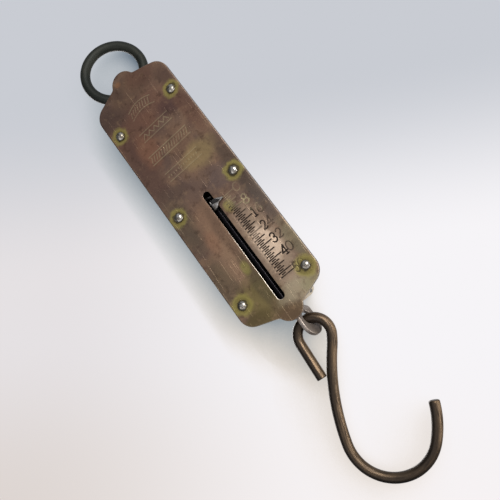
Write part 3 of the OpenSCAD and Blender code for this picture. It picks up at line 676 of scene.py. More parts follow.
class Works(Recipe):
    """A tree of Geometry Nodes with named inputs, which ends in plain geometry with its finish set."""

    def __init__(self, name, result, **inputs):
        super().__init__(bpy.data.node_groups.new(name, "GeometryNodeTree"))
        for label, kind in inputs.items():
            self.tree.interface.new_socket(label, in_out="INPUT", socket_type="NodeSocket" + kind)
        self.tree.interface.new_socket(result, in_out="OUTPUT", socket_type="NodeSocketGeometry")
        self.given = self.add("NodeGroupInput").outputs

    def get(self, kind, inputs=(), **settings):
        return self.add(kind, inputs, **settings).outputs[0]

    def keep(self, shape, name, value, kind="FLOAT"):
        """A value for each point, kept under that name."""
        return self.get("GeometryNodeStoreNamedAttribute", {"Geometry": shape, "Name": name, "Value": value},
                        data_type=kind, domain="POINT")

    def dented(self, shape, lumps, depth):
        """Each point moved along its normal, by half the depth in or out at the most."""
        push = self.times(self.maths("SUBTRACT", lumps, 0.5), depth)
        push = self.get("ShaderNodeVectorMath", {0: self.get("GeometryNodeInputNormal"), "Scale": push},
                        operation="SCALE")
        return self.get("GeometryNodeSetPosition", {"Geometry": shape, "Offset": push})

    def finish(self, shape):
        whole = self.get("GeometryNodeRealizeInstances", {0: shape})
        dressed = self.get("GeometryNodeSetMaterial", {"Geometry": whole, "Material": self.given["Finish"]})
        self.add("NodeGroupOutput", {0: dressed})


# A wire swept along its path. Each point keeps how far along it lies and where in the round section
draw = Works("drawn_wire", "Wire", Path="Geometry", Radius="Float", Sides="Int", Dents="Float", Seed="Float",
             Finish="Material")
line = draw.get("GeometryNodeMeshToCurve", {"Mesh": draw.given["Path"]})
line = draw.keep(line, "along", draw.add("GeometryNodeSplineParameter").outputs["Length"])
rod = draw.get("GeometryNodeCurvePrimitiveCircle", {"Resolution": draw.given["Sides"],
                                                    "Radius": draw.given["Radius"]})
around = draw.axes(draw.get("GeometryNodeInputPosition"))
for name in ("X", "Y"):
    rod = draw.keep(rod, "round_" + name, around[name])
along, round_x, round_y, taper = [draw.get("GeometryNodeInputNamedAttribute", {"Name": name}, data_type="FLOAT")
                                  for name in ("along", "round_X", "round_Y", "taper")]
wire = draw.get("GeometryNodeCurveToMesh", {"Curve": line, "Profile Curve": rod, "Scale": taper,
                                            "Fill Caps": True})
drawn = draw.get("ShaderNodeCombineXYZ", {"X": along, "Y": round_x, "Z": round_y})
wire = draw.keep(wire, "drawn", drawn, "FLOAT_VECTOR")
lumps = draw.add("ShaderNodeTexNoise", {"Vector": drawn, "W": draw.given["Seed"], "Scale": 160.0, "Detail": 3.0},
                 noise_dimensions="4D")
draw.finish(draw.dented(wire, lumps.outputs["Fac"], draw.given["Dents"]))


def made_by(thing, works, **values):
    """The object takes the plain mesh that a tree makes of it, with the tree's inputs set by name."""
    step = thing.modifiers.new(works.tree.name, "NODES")
    step.node_group = works.tree
    names = {item.name: item.identifier for item in works.tree.interface.items_tree if item.in_out == "INPUT"}
    for name, value in values.items():
        step[names[name]] = value
    freeze(thing)


def wire_piece(name, path, radius, sides, metal, dents, seed, taper=None, closed=False):
    """A wire bent to a path in millimetres. taper is the share of the radius at each point."""
    count = len(path)
    edges = [(i, (i + 1) % count) for i in range(count if closed else count - 1)]
    mesh = mesh_of(name, in_row(path).tolist(), edges, [])
    note(mesh, "taper", np.ones(count) if taper is None else taper)
    thing = placed(name, mesh)
    made_by(thing, draw, Radius=radius * MM, Sides=sides, Dents=dents * MM, Seed=float(seed), Finish=metal.material)
    tidy_mesh(thing.data, 40)
    return thing


def wire_marks(recipe, streak, per_metre, detail=4.0):
    """Noise drawn out along a wire: streak is how many times longer than wide each mark is."""
    return recipe.grain(recipe.drawn_out(recipe.noted("drawn", "Vector"), (1 / streak, 1, 1)),
                        per_metre, detail, 0.6)


oiled = Metal("oiled_spring_steel", 0.36, 0.8)
tone = oiled.tinted((52, 50, 50), wire_marks(oiled, 4, 700), 0.42, 0.62, (28, 24, 22))
oiled.surface(tone, wire_marks(oiled, 8, 2600), 0.02)


def ring_at(radius, angle, z):
    return (radius * math.cos(math.radians(angle)), MID_Y + radius * math.sin(math.radians(angle)), z)


def spring_end(angle, z, way, loop_angle):
    """The wire beyond an end of the coil: half a turn in to the axis, then the loop. way is 1 above, -1 below."""
    steps = [i / EASE_STEPS for i in range(1, EASE_STEPS + 1)]
    bends = [math.radians(LOOP_TURN * i / LOOP_STEPS) for i in range(1, LOOP_STEPS + 1)]
    return [ring_at(COIL_R * (1 - s), angle - way * 180 * s, z + way * LOOP_RISE * s) for s in steps] + [
        ring_at(LOOP_R * math.sin(b), loop_angle, z + way * (LOOP_RISE + LOOP_R * (1 - math.cos(b)))) for b in bends]


steps = int(round(TURN_STEPS * TURNS))
path = spring_end(COIL_START, COIL_TOP, 1, COIL_START)[::-1]
path += [ring_at(COIL_R, COIL_START + 360 * TURNS * i / steps, COIL_TOP + (COIL_BOTTOM - COIL_TOP) * i / steps)
         for i in range(steps + 1)]
path += spring_end(COIL_END, COIL_BOTTOM, -1, COIL_END + 180)
spring = wire_piece("coiled_spring", path, WIRE_R, 14, oiled, 0.02, 2)
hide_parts("main_spring")
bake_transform(spring)

# ---- Draw bar ----
# One flat steel blank that runs from the spring through the closed end of the case, turned a little about its
# length. Below its shoulders it widens to a round eye for the hook. All of it but the eye is painted near-black,
# for grease from the case and the shade inside it; the eye, which handling keeps clean, is grey-brown.
BAR_W, BAR_T, BAR_TOP, BAR_CORNER, BAR_TURN = 8.0, 2.0, -8.3, 1.5, 74
SHOULDER_Z, SHOULDER_R, HEAD_R, HEAD_Z = -70.0, 0.6, 5.8, -79.2
BAR_HOLE_Z, FOOT_PIN_Z, FOOT_PIN_R = -10.95, -15.9, 1.1
HOOK_HOLE_Z, HOOK_HOLE_R = -76.2, 3.15
HEAD_ASIDE, HEAD_TURN, BEND_Z, BEND_LENGTH = 1.7, -6, -68.6, 4.0
BAR_EDGE, HOOK_EYE = (0.35, 0.35), (0.55, 0.55)
GREASE_AND_SHADE_ABOVE = 1.6


def in_bar(points):
    """Points on the bar's flat, x across it and y through it from its middle, as points of the case."""
    x, y, z = np.array(points, float).reshape(-1, 3).T
    c, s = math.cos(math.radians(BAR_TURN)), math.sin(math.radians(BAR_TURN))
    return np.column_stack([c * x - s * y, MID_Y + s * x + c * y, z])


handled = Metal("handled_steel", 0.36, 0.8)
point = handled.where()
cloud = handled.grain(point, 240, 5, 0.62, 0.5)
tone = handled.tinted((158, 146, 136), cloud, 0.4, 0.64, (128, 116, 106))
tone = handled.tinted(tone, handled.grain(point, 900, 4, 0.6), 0.56, 0.7, (66, 54, 46), 0.5)
height = handled.maths("MULTIPLY_ADD", handled.grain(point, 300, 3), 3 * MM, handled.axes(point)["Z"])
# Near-black above the shoulders, inside the case: grease and painted shade
grease_and_shade_z = (SHOULDER_Z + MIDDLE_Z + GREASE_AND_SHADE_ABOVE) * MM
tone = handled.tinted(tone, height, grease_and_shade_z, grease_and_shade_z + 3 * MM, (38, 36, 40))
handled.surface(tone, handled.grain(point, 1500, 4, 0.7), 0.04, cloud, (0.3, 0.46))

half = BAR_W / 2
top = arc((half - BAR_CORNER, BAR_TOP - BAR_CORNER), BAR_CORNER, 0, 90, 0.4)
left = straight((-half, BAR_TOP - BAR_CORNER), (-half, SHOULDER_Z), (-1, 0), 2.5)
left += [(-half, SHOULDER_Z, -0.7, 0.7)]
left += arc((SHOULDER_R - HEAD_R, SHOULDER_Z - SHOULDER_R), SHOULDER_R, 90, 180, 0.25)
left += straight((-HEAD_R, SHOULDER_Z - SHOULDER_R), (-HEAD_R, HEAD_Z), (-1, 0), 0.8)
bar = top + mirrored(top) + left + arc((0, HEAD_Z), HEAD_R, 180, 360, 0.45) + mirrored(left)
holes = [hole_edge(0, BAR_HOLE_Z, LOOP_HOLE_R, 24), hole_edge(0, FOOT_PIN_Z, FOOT_PIN_R + FIT, 24),
         hole_edge(0, HOOK_HOLE_Z, HOOK_HOLE_R, 48)]
inside = [(x, z) for x in (-2.4, -0.8, 0.8, 2.4) for z in np.arange(-71.0, -17.5, 1.0)]
verts, faces, _ = blank([bar] + holes, [BAR_EDGE, LOOP_EYE, BORED, HOOK_EYE], BAR_T, inside)
verts = in_bar(verts - (0, BAR_T / 2, 0))
# Below the case the bar has been knocked a little to the right, and its eye turned a few degrees to the front
bent = eased(-verts[:, 2], -BEND_Z, BEND_LENGTH - BEND_Z)
c, s = np.cos(np.radians(HEAD_TURN) * bent), np.sin(np.radians(HEAD_TURN) * bent)
x, y, z = verts.T
verts = np.column_stack([c * x - s * (y - MID_Y) + HEAD_ASIDE * bent, MID_Y + s * x + c * (y - MID_Y), z])
finished(piece("pull_bar", verts, faces, [handled.material]), "draw", "bar", "draw_bar")

# ---- Pointer and its rivet ----
# A strip of plated steel riveted flat to the bar, bent through the slot and cut to a beak in front of the face.
# The bend was pressed over a round tool, which left the beak hollow under its upper edge.
BEAK_TOP, BEAK_TIP, BEAK_LOW, BEAK_HOLLOW = (1.95, -5.75), (5.9, -9.65), (0.98, -10.25), (2.95, -10.75)
BEAK_UNDER_TIP, POINTER_T, HOLLOW_DEEP = (5.9, -10.25), 0.9, 0.55
FOOT_HEAD_R, FOOT_HEAD_H = 1.7, 0.8
plated = Metal("dull_plated_steel", 0.32, 0.85)
point = plated.where()
tone = plated.tinted((152, 150, 148), plated.grain(point, 500, 5, 0.62, 0.4), 0.42, 0.62, (112, 106, 98))
# Painted shade: black in the hollow under the beak's upper edge, and on the part of the strip behind the face,
# inside the slot
tone = plated.over(plated.times(plated.noted("hollow"), 0.92), tone, (22, 20, 20))
tone = plated.tinted(tone, plated.axes(point)["Y"], (FACE_Y - 0.3) * MM, (FACE_Y + 1.6) * MM, (22, 20, 20), 0.94)
plated.surface(tone, plated.grain(point, 1800, 4, 0.7), 0.04)

beak = placed("beak_pointer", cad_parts["pointer"].data.copy())
tidy_mesh(beak.data, 30)
even = beak.modifiers.new("even", "REMESH")
even.mode, even.voxel_size = "VOXEL", 0.11 * MM
ease = beak.modifiers.new("ease", "SMOOTH")
ease.factor, ease.iterations = 0.5, 5
freeze(beak)
beak.data.materials.clear()
beak.data.materials.append(plated.material)
places = np.empty(len(beak.data.vertices) * 3, np.float32)
beak.data.vertices.foreach_get("co", places)
flat = places.reshape(-1, 3).astype(float) / MM - (0, FACE_Y, MIDDLE_Z)


def below(points, a, b):
    """How far points lie below the line from a to b, in x and z."""
    (ax, az), (bx, bz) = a, b
    return ((bx - ax) * (az - points[:, 2]) + (points[:, 0] - ax) * (bz - az)) / math.hypot(bx - ax, bz - az)


over_foot = np.minimum(-below(flat, BEAK_LOW, BEAK_HOLLOW), -below(flat, BEAK_HOLLOW, BEAK_UNDER_TIP))
hollow = eased(below(flat, BEAK_TOP, BEAK_TIP), 1.1, 1.7) * eased(over_foot, 0.35, 0.8)
hollow *= eased(-flat[:, 1], 0.85, 1.2)
flat[:, 1] += HOLLOW_DEEP * hollow
beak.data.vertices.foreach_set("co", in_row(flat).astype(np.float32).ravel())
note(beak.data, "hollow", hollow)
beak.data.shade_smooth()
beak.data.update()
finished(beak, "draw", "steel", "pointer")

front, back = -BAR_T / 2 - POINTER_T, BAR_T / 2
rows = domed(FOOT_HEAD_R, FOOT_HEAD_H, front, -1) + [(FOOT_PIN_R, front), (FOOT_PIN_R, back)]
verts, faces = turned(rows + domed(FOOT_HEAD_R, FOOT_HEAD_H, back, 1)[::-1], 24)
verts = in_bar(verts + (0, 0, FOOT_PIN_Z))
finished(piece("beak_rivet", verts, faces, [plated.material]), "draw", "steel", "pointer_rivet")

# ---- Face plate ----
# One sheet of brass, blanked to an outline with a round tab at each end, slotted for the pointer and
# stamped with the scale. Years of handling have left it red-brown above and olive below, with a ragged
# greenish ring round each rivet, where no polish was ever wiped away.
SLOT_W, SLOT_TOP, SLOT_END = 3.9, -2.1, -63.9
PLATE_EDGE, PLATE_BACK, SLOT_EDGE = 0.3, 0.08, 0.12
# Where the slot's left edge was filed, how round it is there, and how bright the painted highlight and wear on it
# and on the other edges are
FILED_X, FILED_MIDDLE, FILED_HALF, FILED_Z, FILED_RUN = -1.2, -1.4, 1.3, -16, 20
FILED_EDGE, FILED_MORE, RIM_WEAR_GLINT = 0.10, 0.08, 0.12
ZERO_Z, POUND, POUNDS = -9.95, 0.927, 50
MARKS = ((8, 5.1, 11.9), (4, 5.1, 10.7), (2, 5.1, 9.2), (1, 6.2, 8.1))
STAMP_DEPTH, STAMP_HALF, DOUBLED = 0.08, 0.36, 0.07
ROWS = ((52.0, 7.0, "rope"), (39.5, 9.0, "zigzag"), (27.5, 12.0, "rope"), (15.5, 10.0, "dots"))
ROW_HALF, ROW_STEP, ROW_MARGIN, ARCH_RISE = 2.3, 1.6, 0.8, 1.8
WAVE, WAVE_X, WAVE_Z, DISH, DISH_SIZE = 0.05, 16, 22, 0.10, 14
MARK_AREA, MARK_PITCH = ((4, -61), (19, -7)), 0.12
ROW_AREA, ROW_PITCH = ((-16, 10), (16, 60)), 0.22
FLAT_X, FLAT_Z, FLAT_PITCH = (-21.4, 21.6), (-73.6, 74), 1.2
RIM_GAP, SLOT_GAP, HOLE_GAP = 0.6, 1.0, 0.2
strokes = []


def mark(*points):
    strokes.extend(zip(points[:-1], points[1:]))


# A mark for each pound. The rows of MARKS are for every 8 pounds and the last, then every 4, 2 and 1
for pound in range(POUNDS + 1):
    z = ZERO_Z - POUND * pound
    start, stop = next(row[1:] for row in MARKS if pound % row[0] == 0 or pound == POUNDS)
    mark((start, z), (stop, z))


def bow(cx, cz, rx, rz, start, stop, count=12):
    turns = [math.radians(start + (stop - start) * i / count) for i in range(count + 1)]
    return [(cx + rx * math.cos(a), cz + rz * math.sin(a)) for a in turns]


# Each figure in a box one wide and one tall, its foot at 0
FIGURES = {
    "0": [bow(0.5, 0.5, 0.5, 0.5, 0, 360, 24)],
    "1": [[(0.2, 0.82), (0.55, 1.0), (0.55, 0.0)], [(0.15, 0.0), (0.95, 0.0)]],
    "2": [bow(0.47, 0.72, 0.42, 0.28, 165, -35) + [(0.05, 0.03)] + bow(0.5, 0.16, 0.45, 0.14, 190, 340, 6)],
    "3": [bow(0.45, 0.75, 0.4, 0.25, 160, -80), bow(0.45, 0.27, 0.48, 0.27, 85, -160)],
    "4": [[(0.68, 0.0), (0.68, 1.0), (0.02, 0.3), (1.0, 0.3)], [(0.45, 0.0), (0.9, 0.0)]],
    "5": [[(0.9, 0.98), (0.2, 0.98), (0.14, 0.56)] + bow(0.46, 0.32, 0.44, 0.32, 130, -150)],
    "6": [bow(0.5, 0.3, 0.45, 0.3, 0, 360, 20), [(0.85, 0.93), (0.5, 1.0), (0.15, 0.68), (0.05, 0.33)]],
    "8": [bow(0.5, 0.74, 0.38, 0.26, 0, 360, 18), bow(0.5, 0.24, 0.48, 0.25, 0, 360, 18)],
}
for sign, x0, x1, low, high in (
        ("0", 12.3, 15.5, -12.2, -8.1), ("8", 12.3, 15.1, -19.6, -14.8), ("1", 12.2, 13.9, -27.0, -22.2),
        ("6", 15.0, 17.6, -27.0, -22.3), ("2", 12.1, 14.4, -34.6, -30.1), ("4", 15.0, 17.8, -34.6, -30.0),
        ("3", 12.0, 14.6, -42.0, -37.4), ("2", 15.3, 17.9, -42.0, -37.4), ("4", 12.2, 15.2, -49.4, -44.8),
        ("0", 15.3, 18.0, -49.4, -44.9), ("5", 12.2, 14.5, -59.0, -54.1), ("0", 14.9, 17.6, -59.0, -54.2)):
    for run in FIGURES[sign]:
        for aside in (-DOUBLED, DOUBLED):
            mark(*[(x0 + (x1 - x0) * u + aside, low + (high - low) * v - aside) for u, v in run])
scale_strokes = len(strokes)


def row_height(x, row):
    """How high a row of the ornament stands at x. The top row is arched."""
    row_z, reach, _ = row
    return row_z + (ARCH_RISE * (1 - (x / reach) ** 2) if row is ROWS[0] else 0)


# A plain worn ornament in the upper half: ropes, a zigzag and dots, each between two ruled lines
for row in ROWS:
    _, reach, pattern = row
    for lift in (ROW_HALF, -ROW_HALF):
        mark(*[(x, row_height(x, row) + lift) for x in np.linspace(-reach, reach, 13)])
    steps = np.arange(ROW_MARGIN - reach, reach - ROW_MARGIN + 0.1, ROW_STEP)
    if pattern == "zigzag":
        mark(*[(x, row_height(x, row) + (1.1 if i % 2 else -1.1)) for i, x in enumerate(steps)])
    else:
        lean, half = (0.55, 1.2) if pattern == "rope" else (0.02, 0.25)
        for x in steps:
            mark((x - lean, row_height(x, row) - half), (x + lean, row_height(x, row) + half))

stamp_lines = placed("stamp_lines", mesh_of(
    "stamp_lines", in_row([(x, 0, z) for run in strokes for x, z in run]).tolist(),
    [(2 * i, 2 * i + 1) for i in range(len(strokes))], []))


def near_strokes(runs, low, high, pitch, reach=0.5):
    """The points of a fine grid between two corners that lie within reach of a mark."""
    xs, zs = np.arange(low[0], high[0], pitch), np.arange(low[1], high[1], pitch)
    close = np.zeros((len(xs), len(zs)), bool)
    for (ax, az), (bx, bz) in runs:
        i0, i1 = np.searchsorted(xs, (min(ax, bx) - reach, max(ax, bx) + reach))
        j0, j1 = np.searchsorted(zs, (min(az, bz) - reach, max(az, bz) + reach))
        gx, gz = np.meshgrid(xs[i0:i1], zs[j0:j1], indexing="ij")
        t = np.clip(((gx - ax) * (bx - ax) + (gz - az) * (bz - az)) / ((bx - ax) ** 2 + (bz - az) ** 2), 0, 1)
        close[i0:i1, j0:j1] |= np.hypot(gx - ax - t * (bx - ax), gz - az - t * (bz - az)) < reach
    i, j = np.nonzero(close)
    return np.column_stack([xs[i], zs[j]])


def square_of(points):
    """The square millimetre that each point lies in, counted from below the plate's left corner."""
    return tuple((points + (30, 80)).astype(int).T)


# The slot's edge, clockwise. Its left side was eased with a file, more towards its foot
r = SLOT_W / 2
slot = arc((0, SLOT_TOP - r), r, 180, 0, 0.5, outward=-1)
slot += straight((r, SLOT_TOP - r), (r, SLOT_END + r), (-1, 0), 0.6)
slot += arc((0, SLOT_END + r), r, 0, -180, 0.5, outward=-1)
slot += straight((-r, SLOT_END + r), (-r, SLOT_TOP - r), (1, 0), 0.6)
slot_x, slot_z = np.array(slot)[:, :2].T
slot_roll = np.where(slot_x < FILED_X, FILED_EDGE + FILED_MORE * np.clip(-slot_z / 60, 0, 1), SLOT_EDGE)
# The points of the flat: close together near a mark, and wide apart elsewhere
outer = np.array(face_outline(0.5))
marked = np.vstack([near_strokes(strokes[:scale_strokes], *MARK_AREA, MARK_PITCH),
                    near_strokes(strokes[scale_strokes:], *ROW_AREA, ROW_PITCH)])
broad = np.array([(x, z) for x in np.arange(*FLAT_X, FLAT_PITCH) for z in np.arange(*FLAT_Z, FLAT_PITCH)])
taken = np.zeros((60, 160), bool)
taken[square_of(marked)] = True
dots = np.vstack([marked, broad[~taken[square_of(broad)]]])
safe = within(dots, outer[:, :2] - outer[:, 2:] * RIM_GAP)
by_slot = (np.abs(dots[:, 0]) < r + SLOT_GAP) & (dots[:, 1] < SLOT_TOP + SLOT_GAP)
safe &= ~(by_slot & (dots[:, 1] > SLOT_END - SLOT_GAP))
for x, z in RIVETS:
    safe &= np.hypot(dots[:, 0] - x, dots[:, 1] - z) > RIVET_R + HOLE_GAP
holes = [hole_edge(x, z, RIVET_R + FIT) for x, z in RIVETS]
rolls = [(PLATE_EDGE, PLATE_BACK), (slot_roll, PLATE_BACK)] + [BORED] * len(RIVETS)
verts, faces, worn = blank([outer, slot] + holes, rolls, FACE_T, dots[safe].tolist())
x, _, z = verts.T
filed = (np.abs(x - FILED_MIDDLE) < FILED_HALF) & (z < FILED_Z) & (z > SLOT_END - SLOT_GAP)
worn = np.array(worn) * np.where(filed, np.clip((FILED_Z - z) / FILED_RUN, 0, 1), RIM_WEAR_GLINT)
# The sheet is a little wavy, and dished round each rivet
wave = np.array([noise.noise(Vector((x / WAVE_X, 3.1, z / WAVE_Z))) for x, _, z in verts])
dish = sum(np.exp(-((x - rivet_x) ** 2 + (z - rivet_z) ** 2) / DISH_SIZE) for rivet_x, rivet_z in RIVETS)
verts[:, 1] += WAVE * wave + DISH * dish

patina = Metal("aged_brass_face", 0.42, 0.72)
point = patina.where()
# From metres in the row frame to metres from the middle of the face
here = patina.vector("SUBTRACT", point, (0, 0, MIDDLE_Z * MM))
at = patina.axes(here)
ragged = patina.level(patina.grain(point, 120, 6, 0.66))
cloud = patina.grain(point, 70, 6, 0.62, 0.6)
tone = patina.tinted((94, 74, 64), cloud, 0.35, 0.65, (112, 88, 70))
# Soft ragged stains, and a painted highlight on the scale: the middle of each, its half size, its tone and the most
# that it covers
for (x, z), (wide, tall), colour, most in (
        ((-12, 44), (11, 18), (94, 66, 54), 0.8), ((4, 50), (11, 9), (104, 74, 60), 0.7),
        ((-17, 26), (6, 18), (82, 60, 52), 0.75), ((-15, 58), (8, 6), (78, 62, 54), 0.7),
        ((0, 64), (12, 7), (98, 76, 60), 0.7), ((9, 66), (8, 6), (92, 64, 52), 0.6),
        ((-6, 66), (3, 4), (80, 62, 52), 0.6), ((-9, 32), (6, 9), (122, 86, 66), 0.7),
        ((0, 44), (4, 5), (108, 76, 60), 0.5), ((12, 43), (6, 5), (74, 52, 48), 0.7),
        ((4, 26), (8, 8), (108, 82, 64), 0.6), ((18, 36), (4, 14), (98, 70, 56), 0.7),
        ((18, 57), (4, 6), (80, 60, 50), 0.6), ((9.5, 14.5), (9, 6), (132, 112, 76), 0.75),
        ((-3, 2), (10, 6), (90, 72, 64), 0.6), ((-17, -8), (6, 16), (84, 72, 58), 0.75),
        ((11, -1), (8, 5), (88, 74, 70), 0.6), ((-8, -18), (6, 14), (124, 96, 76), 0.6),
        ((-11, -24), (3, 6), (128, 94, 72), 0.5), ((-8, -38), (8, 12), (130, 104, 82), 0.65),
        ((-18, -46), (6, 16), (90, 76, 58), 0.75), ((-8, -58), (10, 10), (104, 92, 54), 0.85),
        ((-15, -65), (8, 5), (80, 68, 40), 0.85), ((-4.5, -52), (3.2, 15), (80, 70, 48), 0.75),
        ((-4.5, -24), (2.5, 16), (88, 68, 54), 0.5), ((-11, 7), (5, 4), (72, 58, 52), 0.6),
        # The two pale patches at (9, -42) and (9.5, -39.5) are no stain but a painted highlight, the window's glare
        # on the scale
        ((-2, -65), (5, 4), (92, 76, 54), 0.6), ((9, -42), (8, 24), (146, 126, 106), 0.8),
        ((9.5, -39.5), (4.8, 9), (206, 182, 158), 0.85), ((20, -18), (4, 16), (82, 72, 64), 0.8),
        ((19, -1), (4, 13), (74, 60, 50), 0.85), ((5.5, -15), (2.4, 3), (136, 126, 70), 0.7),
        ((20, -46), (3, 10), (110, 102, 80), 0.7), ((7, -65), (8, 5), (146, 134, 110), 0.75),
        ((-1, -71), (8, 4), (86, 68, 46), 0.8), ((15, -66), (5, 4), (136, 130, 96), 0.5),
        ((-3, 70), (1.6, 1.3), (138, 96, 64), 0.5), ((-5.6, -42.4), (2, 3), (132, 124, 66), 0.6)):
    away = patina.apart(here, (x, 0, z), (1 / (wide * MM), 0, 1 / (tall * MM)))
    tone = patina.tinted(tone, patina.maths("MULTIPLY_ADD", ragged, 1.3, away), 1.45, 0.55, colour, most)
# Dark blotches, a few pale ones, and the fine speckle of tarnish between them
tone = patina.tinted(tone, patina.grain(point, 240, 5, 0.62), 0.52, 0.68, (170, 158, 150), 0.55, "MULTIPLY")
tone = patina.tinted(tone, patina.grain(point, 330, 5, 0.6, 0.4), 0.55, 0.7, (150, 122, 92), 0.2)
tone = patina.tinted(tone, patina.grain(point, 900, 4, 0.7), 0.56, 0.72, (60, 46, 40), 0.3)
# A ragged green-yellow ring about each rivet, wider towards the foot, and a dark ring close round its head
away = None
for x, z in RIVETS:
    one = patina.apart(here, (x, 0, z))
    away = one if away is None else patina.maths("MINIMUM", away, one)
finer = patina.level(patina.grain(point, 420, 5, 0.7))
away = patina.maths("MULTIPLY_ADD", ragged, 4.5 * MM, patina.maths("MULTIPLY_ADD", finer, 3 * MM, away))
reach = patina.maths("DIVIDE", away, patina.spread(at["Z"], 30 * MM, -60 * MM, 0.95, 1.2))
tone = patina.tinted(tone, reach, 5.4 * MM, 3.0 * MM, (140, 130, 68), 0.8)
tone = patina.tinted(tone, reach, 4.0 * MM, 2.6 * MM, (94, 82, 46), 0.6)
tone = patina.tinted(tone, away, 2.7 * MM, 2.3 * MM, (46, 38, 30), 0.7)
# Faint scratches, worn edges with a painted highlight, brightest along the filed edge of the slot, and painted shade
# along the left rim
lines = patina.maths("MAXIMUM", patina.scratches(point, 0.25, 1500, 0.06), patina.scratches(point, -0.9, 1300, 0.06))
tone = patina.over(patina.times(lines, 0.13), tone, (176, 152, 122))
patchy = patina.spread(patina.grain(point, 160, 4, 0.6), 0.3, 0.55, 0.6, 1.0)
tone = patina.over(patina.times(patina.noted("worn"), patchy), tone, (238, 228, 214))
tone = patina.tinted(tone, at["X"], -21.70 * MM, -22.05 * MM, (46, 36, 31), 0.7)
# The dirt in the stamping is black at its lower left and rubbed out to a pale brown elsewhere
rubbed_out = patina.maths("ADD", at["Z"], at["X"])
dirt = patina.tinted((38, 28, 21), rubbed_out, -12.5 * MM, -3.5 * MM, (142, 128, 100))
packed = patina.spread(patina.grain(point, 110, 3), 0.35, 0.5, 0.6, 1.0)
tone = patina.over(patina.times(patina.spread(patina.noted("stamped"), 0.0, 0.7), packed), tone, dirt)
# The slot's walls are painted black: grease and the shade inside the slot
at_slot = patina.spread(patina.maths("ABSOLUTE", at["X"]), 2.4 * MM, 2.1 * MM)
inward = patina.spread(at["Y"], (FACE_Y + 0.15) * MM, (FACE_Y + 0.3) * MM, 0, 0.95)
tone = patina.over(patina.times(at_slot, inward), tone, (24, 22, 21))
patina.surface(tone, patina.maths("ADD", patina.grain(point, 900, 4, 0.65), lines), 0.025, cloud, (0.36, 0.5))

face = piece("face_plate", verts, faces, [patina.material], worn=worn)

# The marks are pressed in: each point of the face drops by how near it is to a mark. The ornament and the
# first pounds of the scale are nearly worn away, and the figures furthest to the right are faint
WORN_BELOW, WORN_RUN, WORN_SHARE = -10, 14, 0.35
FAINT_FROM, FAINT_TO, FAINT_SHARE = 14.4, 15.4, 0.45
press = Works("press_marks", "Plate", Plate="Geometry", Marks="Object", Depth="Float", Reach="Float",
              Finish="Material")
marks = press.add("GeometryNodeObjectInfo", {"Object": press.given["Marks"]}).outputs["Geometry"]
near = press.add("GeometryNodeProximity", {0: marks}, target_element="EDGES").outputs["Distance"]
place = press.axes(press.get("GeometryNodeInputPosition"))
share = press.spread(near, press.given["Reach"], press.times(press.given["Reach"], 0.6))
worn_z = (MIDDLE_Z + WORN_BELOW) * MM
left_over = press.times(press.spread(place["Z"], worn_z, worn_z - WORN_RUN * MM, WORN_SHARE, 1.0),
                        press.spread(place["X"], FAINT_FROM * MM, FAINT_TO * MM, 1.0, FAINT_SHARE))
in_front = press.maths("LESS_THAN", place["Y"], (FACE_Y + 0.5) * MM)
share = press.times(press.times(share, left_over), in_front)
drop = press.get("ShaderNodeCombineXYZ", {"Y": press.times(share, press.given["Depth"])})
sunk = press.get("GeometryNodeSetPosition", {"Geometry": press.given["Plate"], "Offset": drop})
press.finish(press.keep(sunk, "stamped", share))

made_by(face, press, Marks=stamp_lines, Depth=STAMP_DEPTH * MM, Reach=STAMP_HALF * MM, Finish=patina.material)
bpy.data.objects.remove(stamp_lines)
finished(face, "case", "face", "front_plate")

# ---- Rivets ----
# Six steel rivets hold the plate to the flanges. Their heads in front were rounded with a hammer and a cup,
# so that each is a little uneven, and their tails are closed flat over the flange behind.
RIVET_HEAD_R, RIVET_HEAD_H, RIVET_TAIL_R, RIVET_TAIL_H = 2.3, 1.5, 1.9, 0.8
RIVET_DENTS, RIVET_LEAN = 0.16, 0.05
flange_y = FACE_T + SHEET_T
rows = domed(RIVET_HEAD_R, RIVET_HEAD_H, 0, -1, 9) + [(RIVET_R, 0), (RIVET_R, flange_y)]
verts, faces = turned(rows + domed(RIVET_TAIL_R, RIVET_TAIL_H, flange_y, 1, 5)[::-1], 36)
rivet_form = placed("rivet_form", mesh_of("rivet_form", (verts * MM).tolist(), [], faces))
tidy_mesh(rivet_form.data, 40)

hammer = Works("set_rivets", "Rivets", Places="Geometry", Form="Object", Dents="Float", Lean="Float", Seed="Int",
               Finish="Material")
least, most = [hammer.get("ShaderNodeCombineXYZ", {"X": lean, "Y": turn, "Z": lean}) for lean, turn in (
    (hammer.times(hammer.given["Lean"], -1.0), 0.0), (hammer.given["Lean"], 6.28))]
turn = hammer.get("FunctionNodeRandomValue", {0: least, 1: most, "Seed": hammer.given["Seed"]},
                  data_type="FLOAT_VECTOR")
form = hammer.add("GeometryNodeObjectInfo", {"Object": hammer.given["Form"]}).outputs["Geometry"]
whole = hammer.get("GeometryNodeInstanceOnPoints", {"Points": hammer.given["Places"], "Instance": form,
                                                    "Rotation": turn})
whole = hammer.get("GeometryNodeRealizeInstances", {0: whole})
lumps = hammer.add("ShaderNodeTexNoise", {"Vector": hammer.get("GeometryNodeInputPosition"), "Scale": 700.0,
                                          "Detail": 2.0}).outputs["Fac"]
hammer.finish(hammer.dented(whole, lumps, hammer.given["Dents"]))

rivets = placed("case_rivets", mesh_of("case_rivets", in_row([(x, 0, z) for x, z in RIVETS]).tolist(), [], []))
made_by(rivets, hammer, Form=rivet_form, Dents=RIVET_DENTS * MM, Lean=RIVET_LEAN, Seed=4, Finish=steel.material)
bpy.data.objects.remove(rivet_form)
tidy_mesh(rivets.data, 40)
finished(rivets, "case", "steel", "rivet_top_left", "rivet_top_right", "rivet_mid_left", "rivet_mid_right",
         "rivet_low_left", "rivet_low_right")

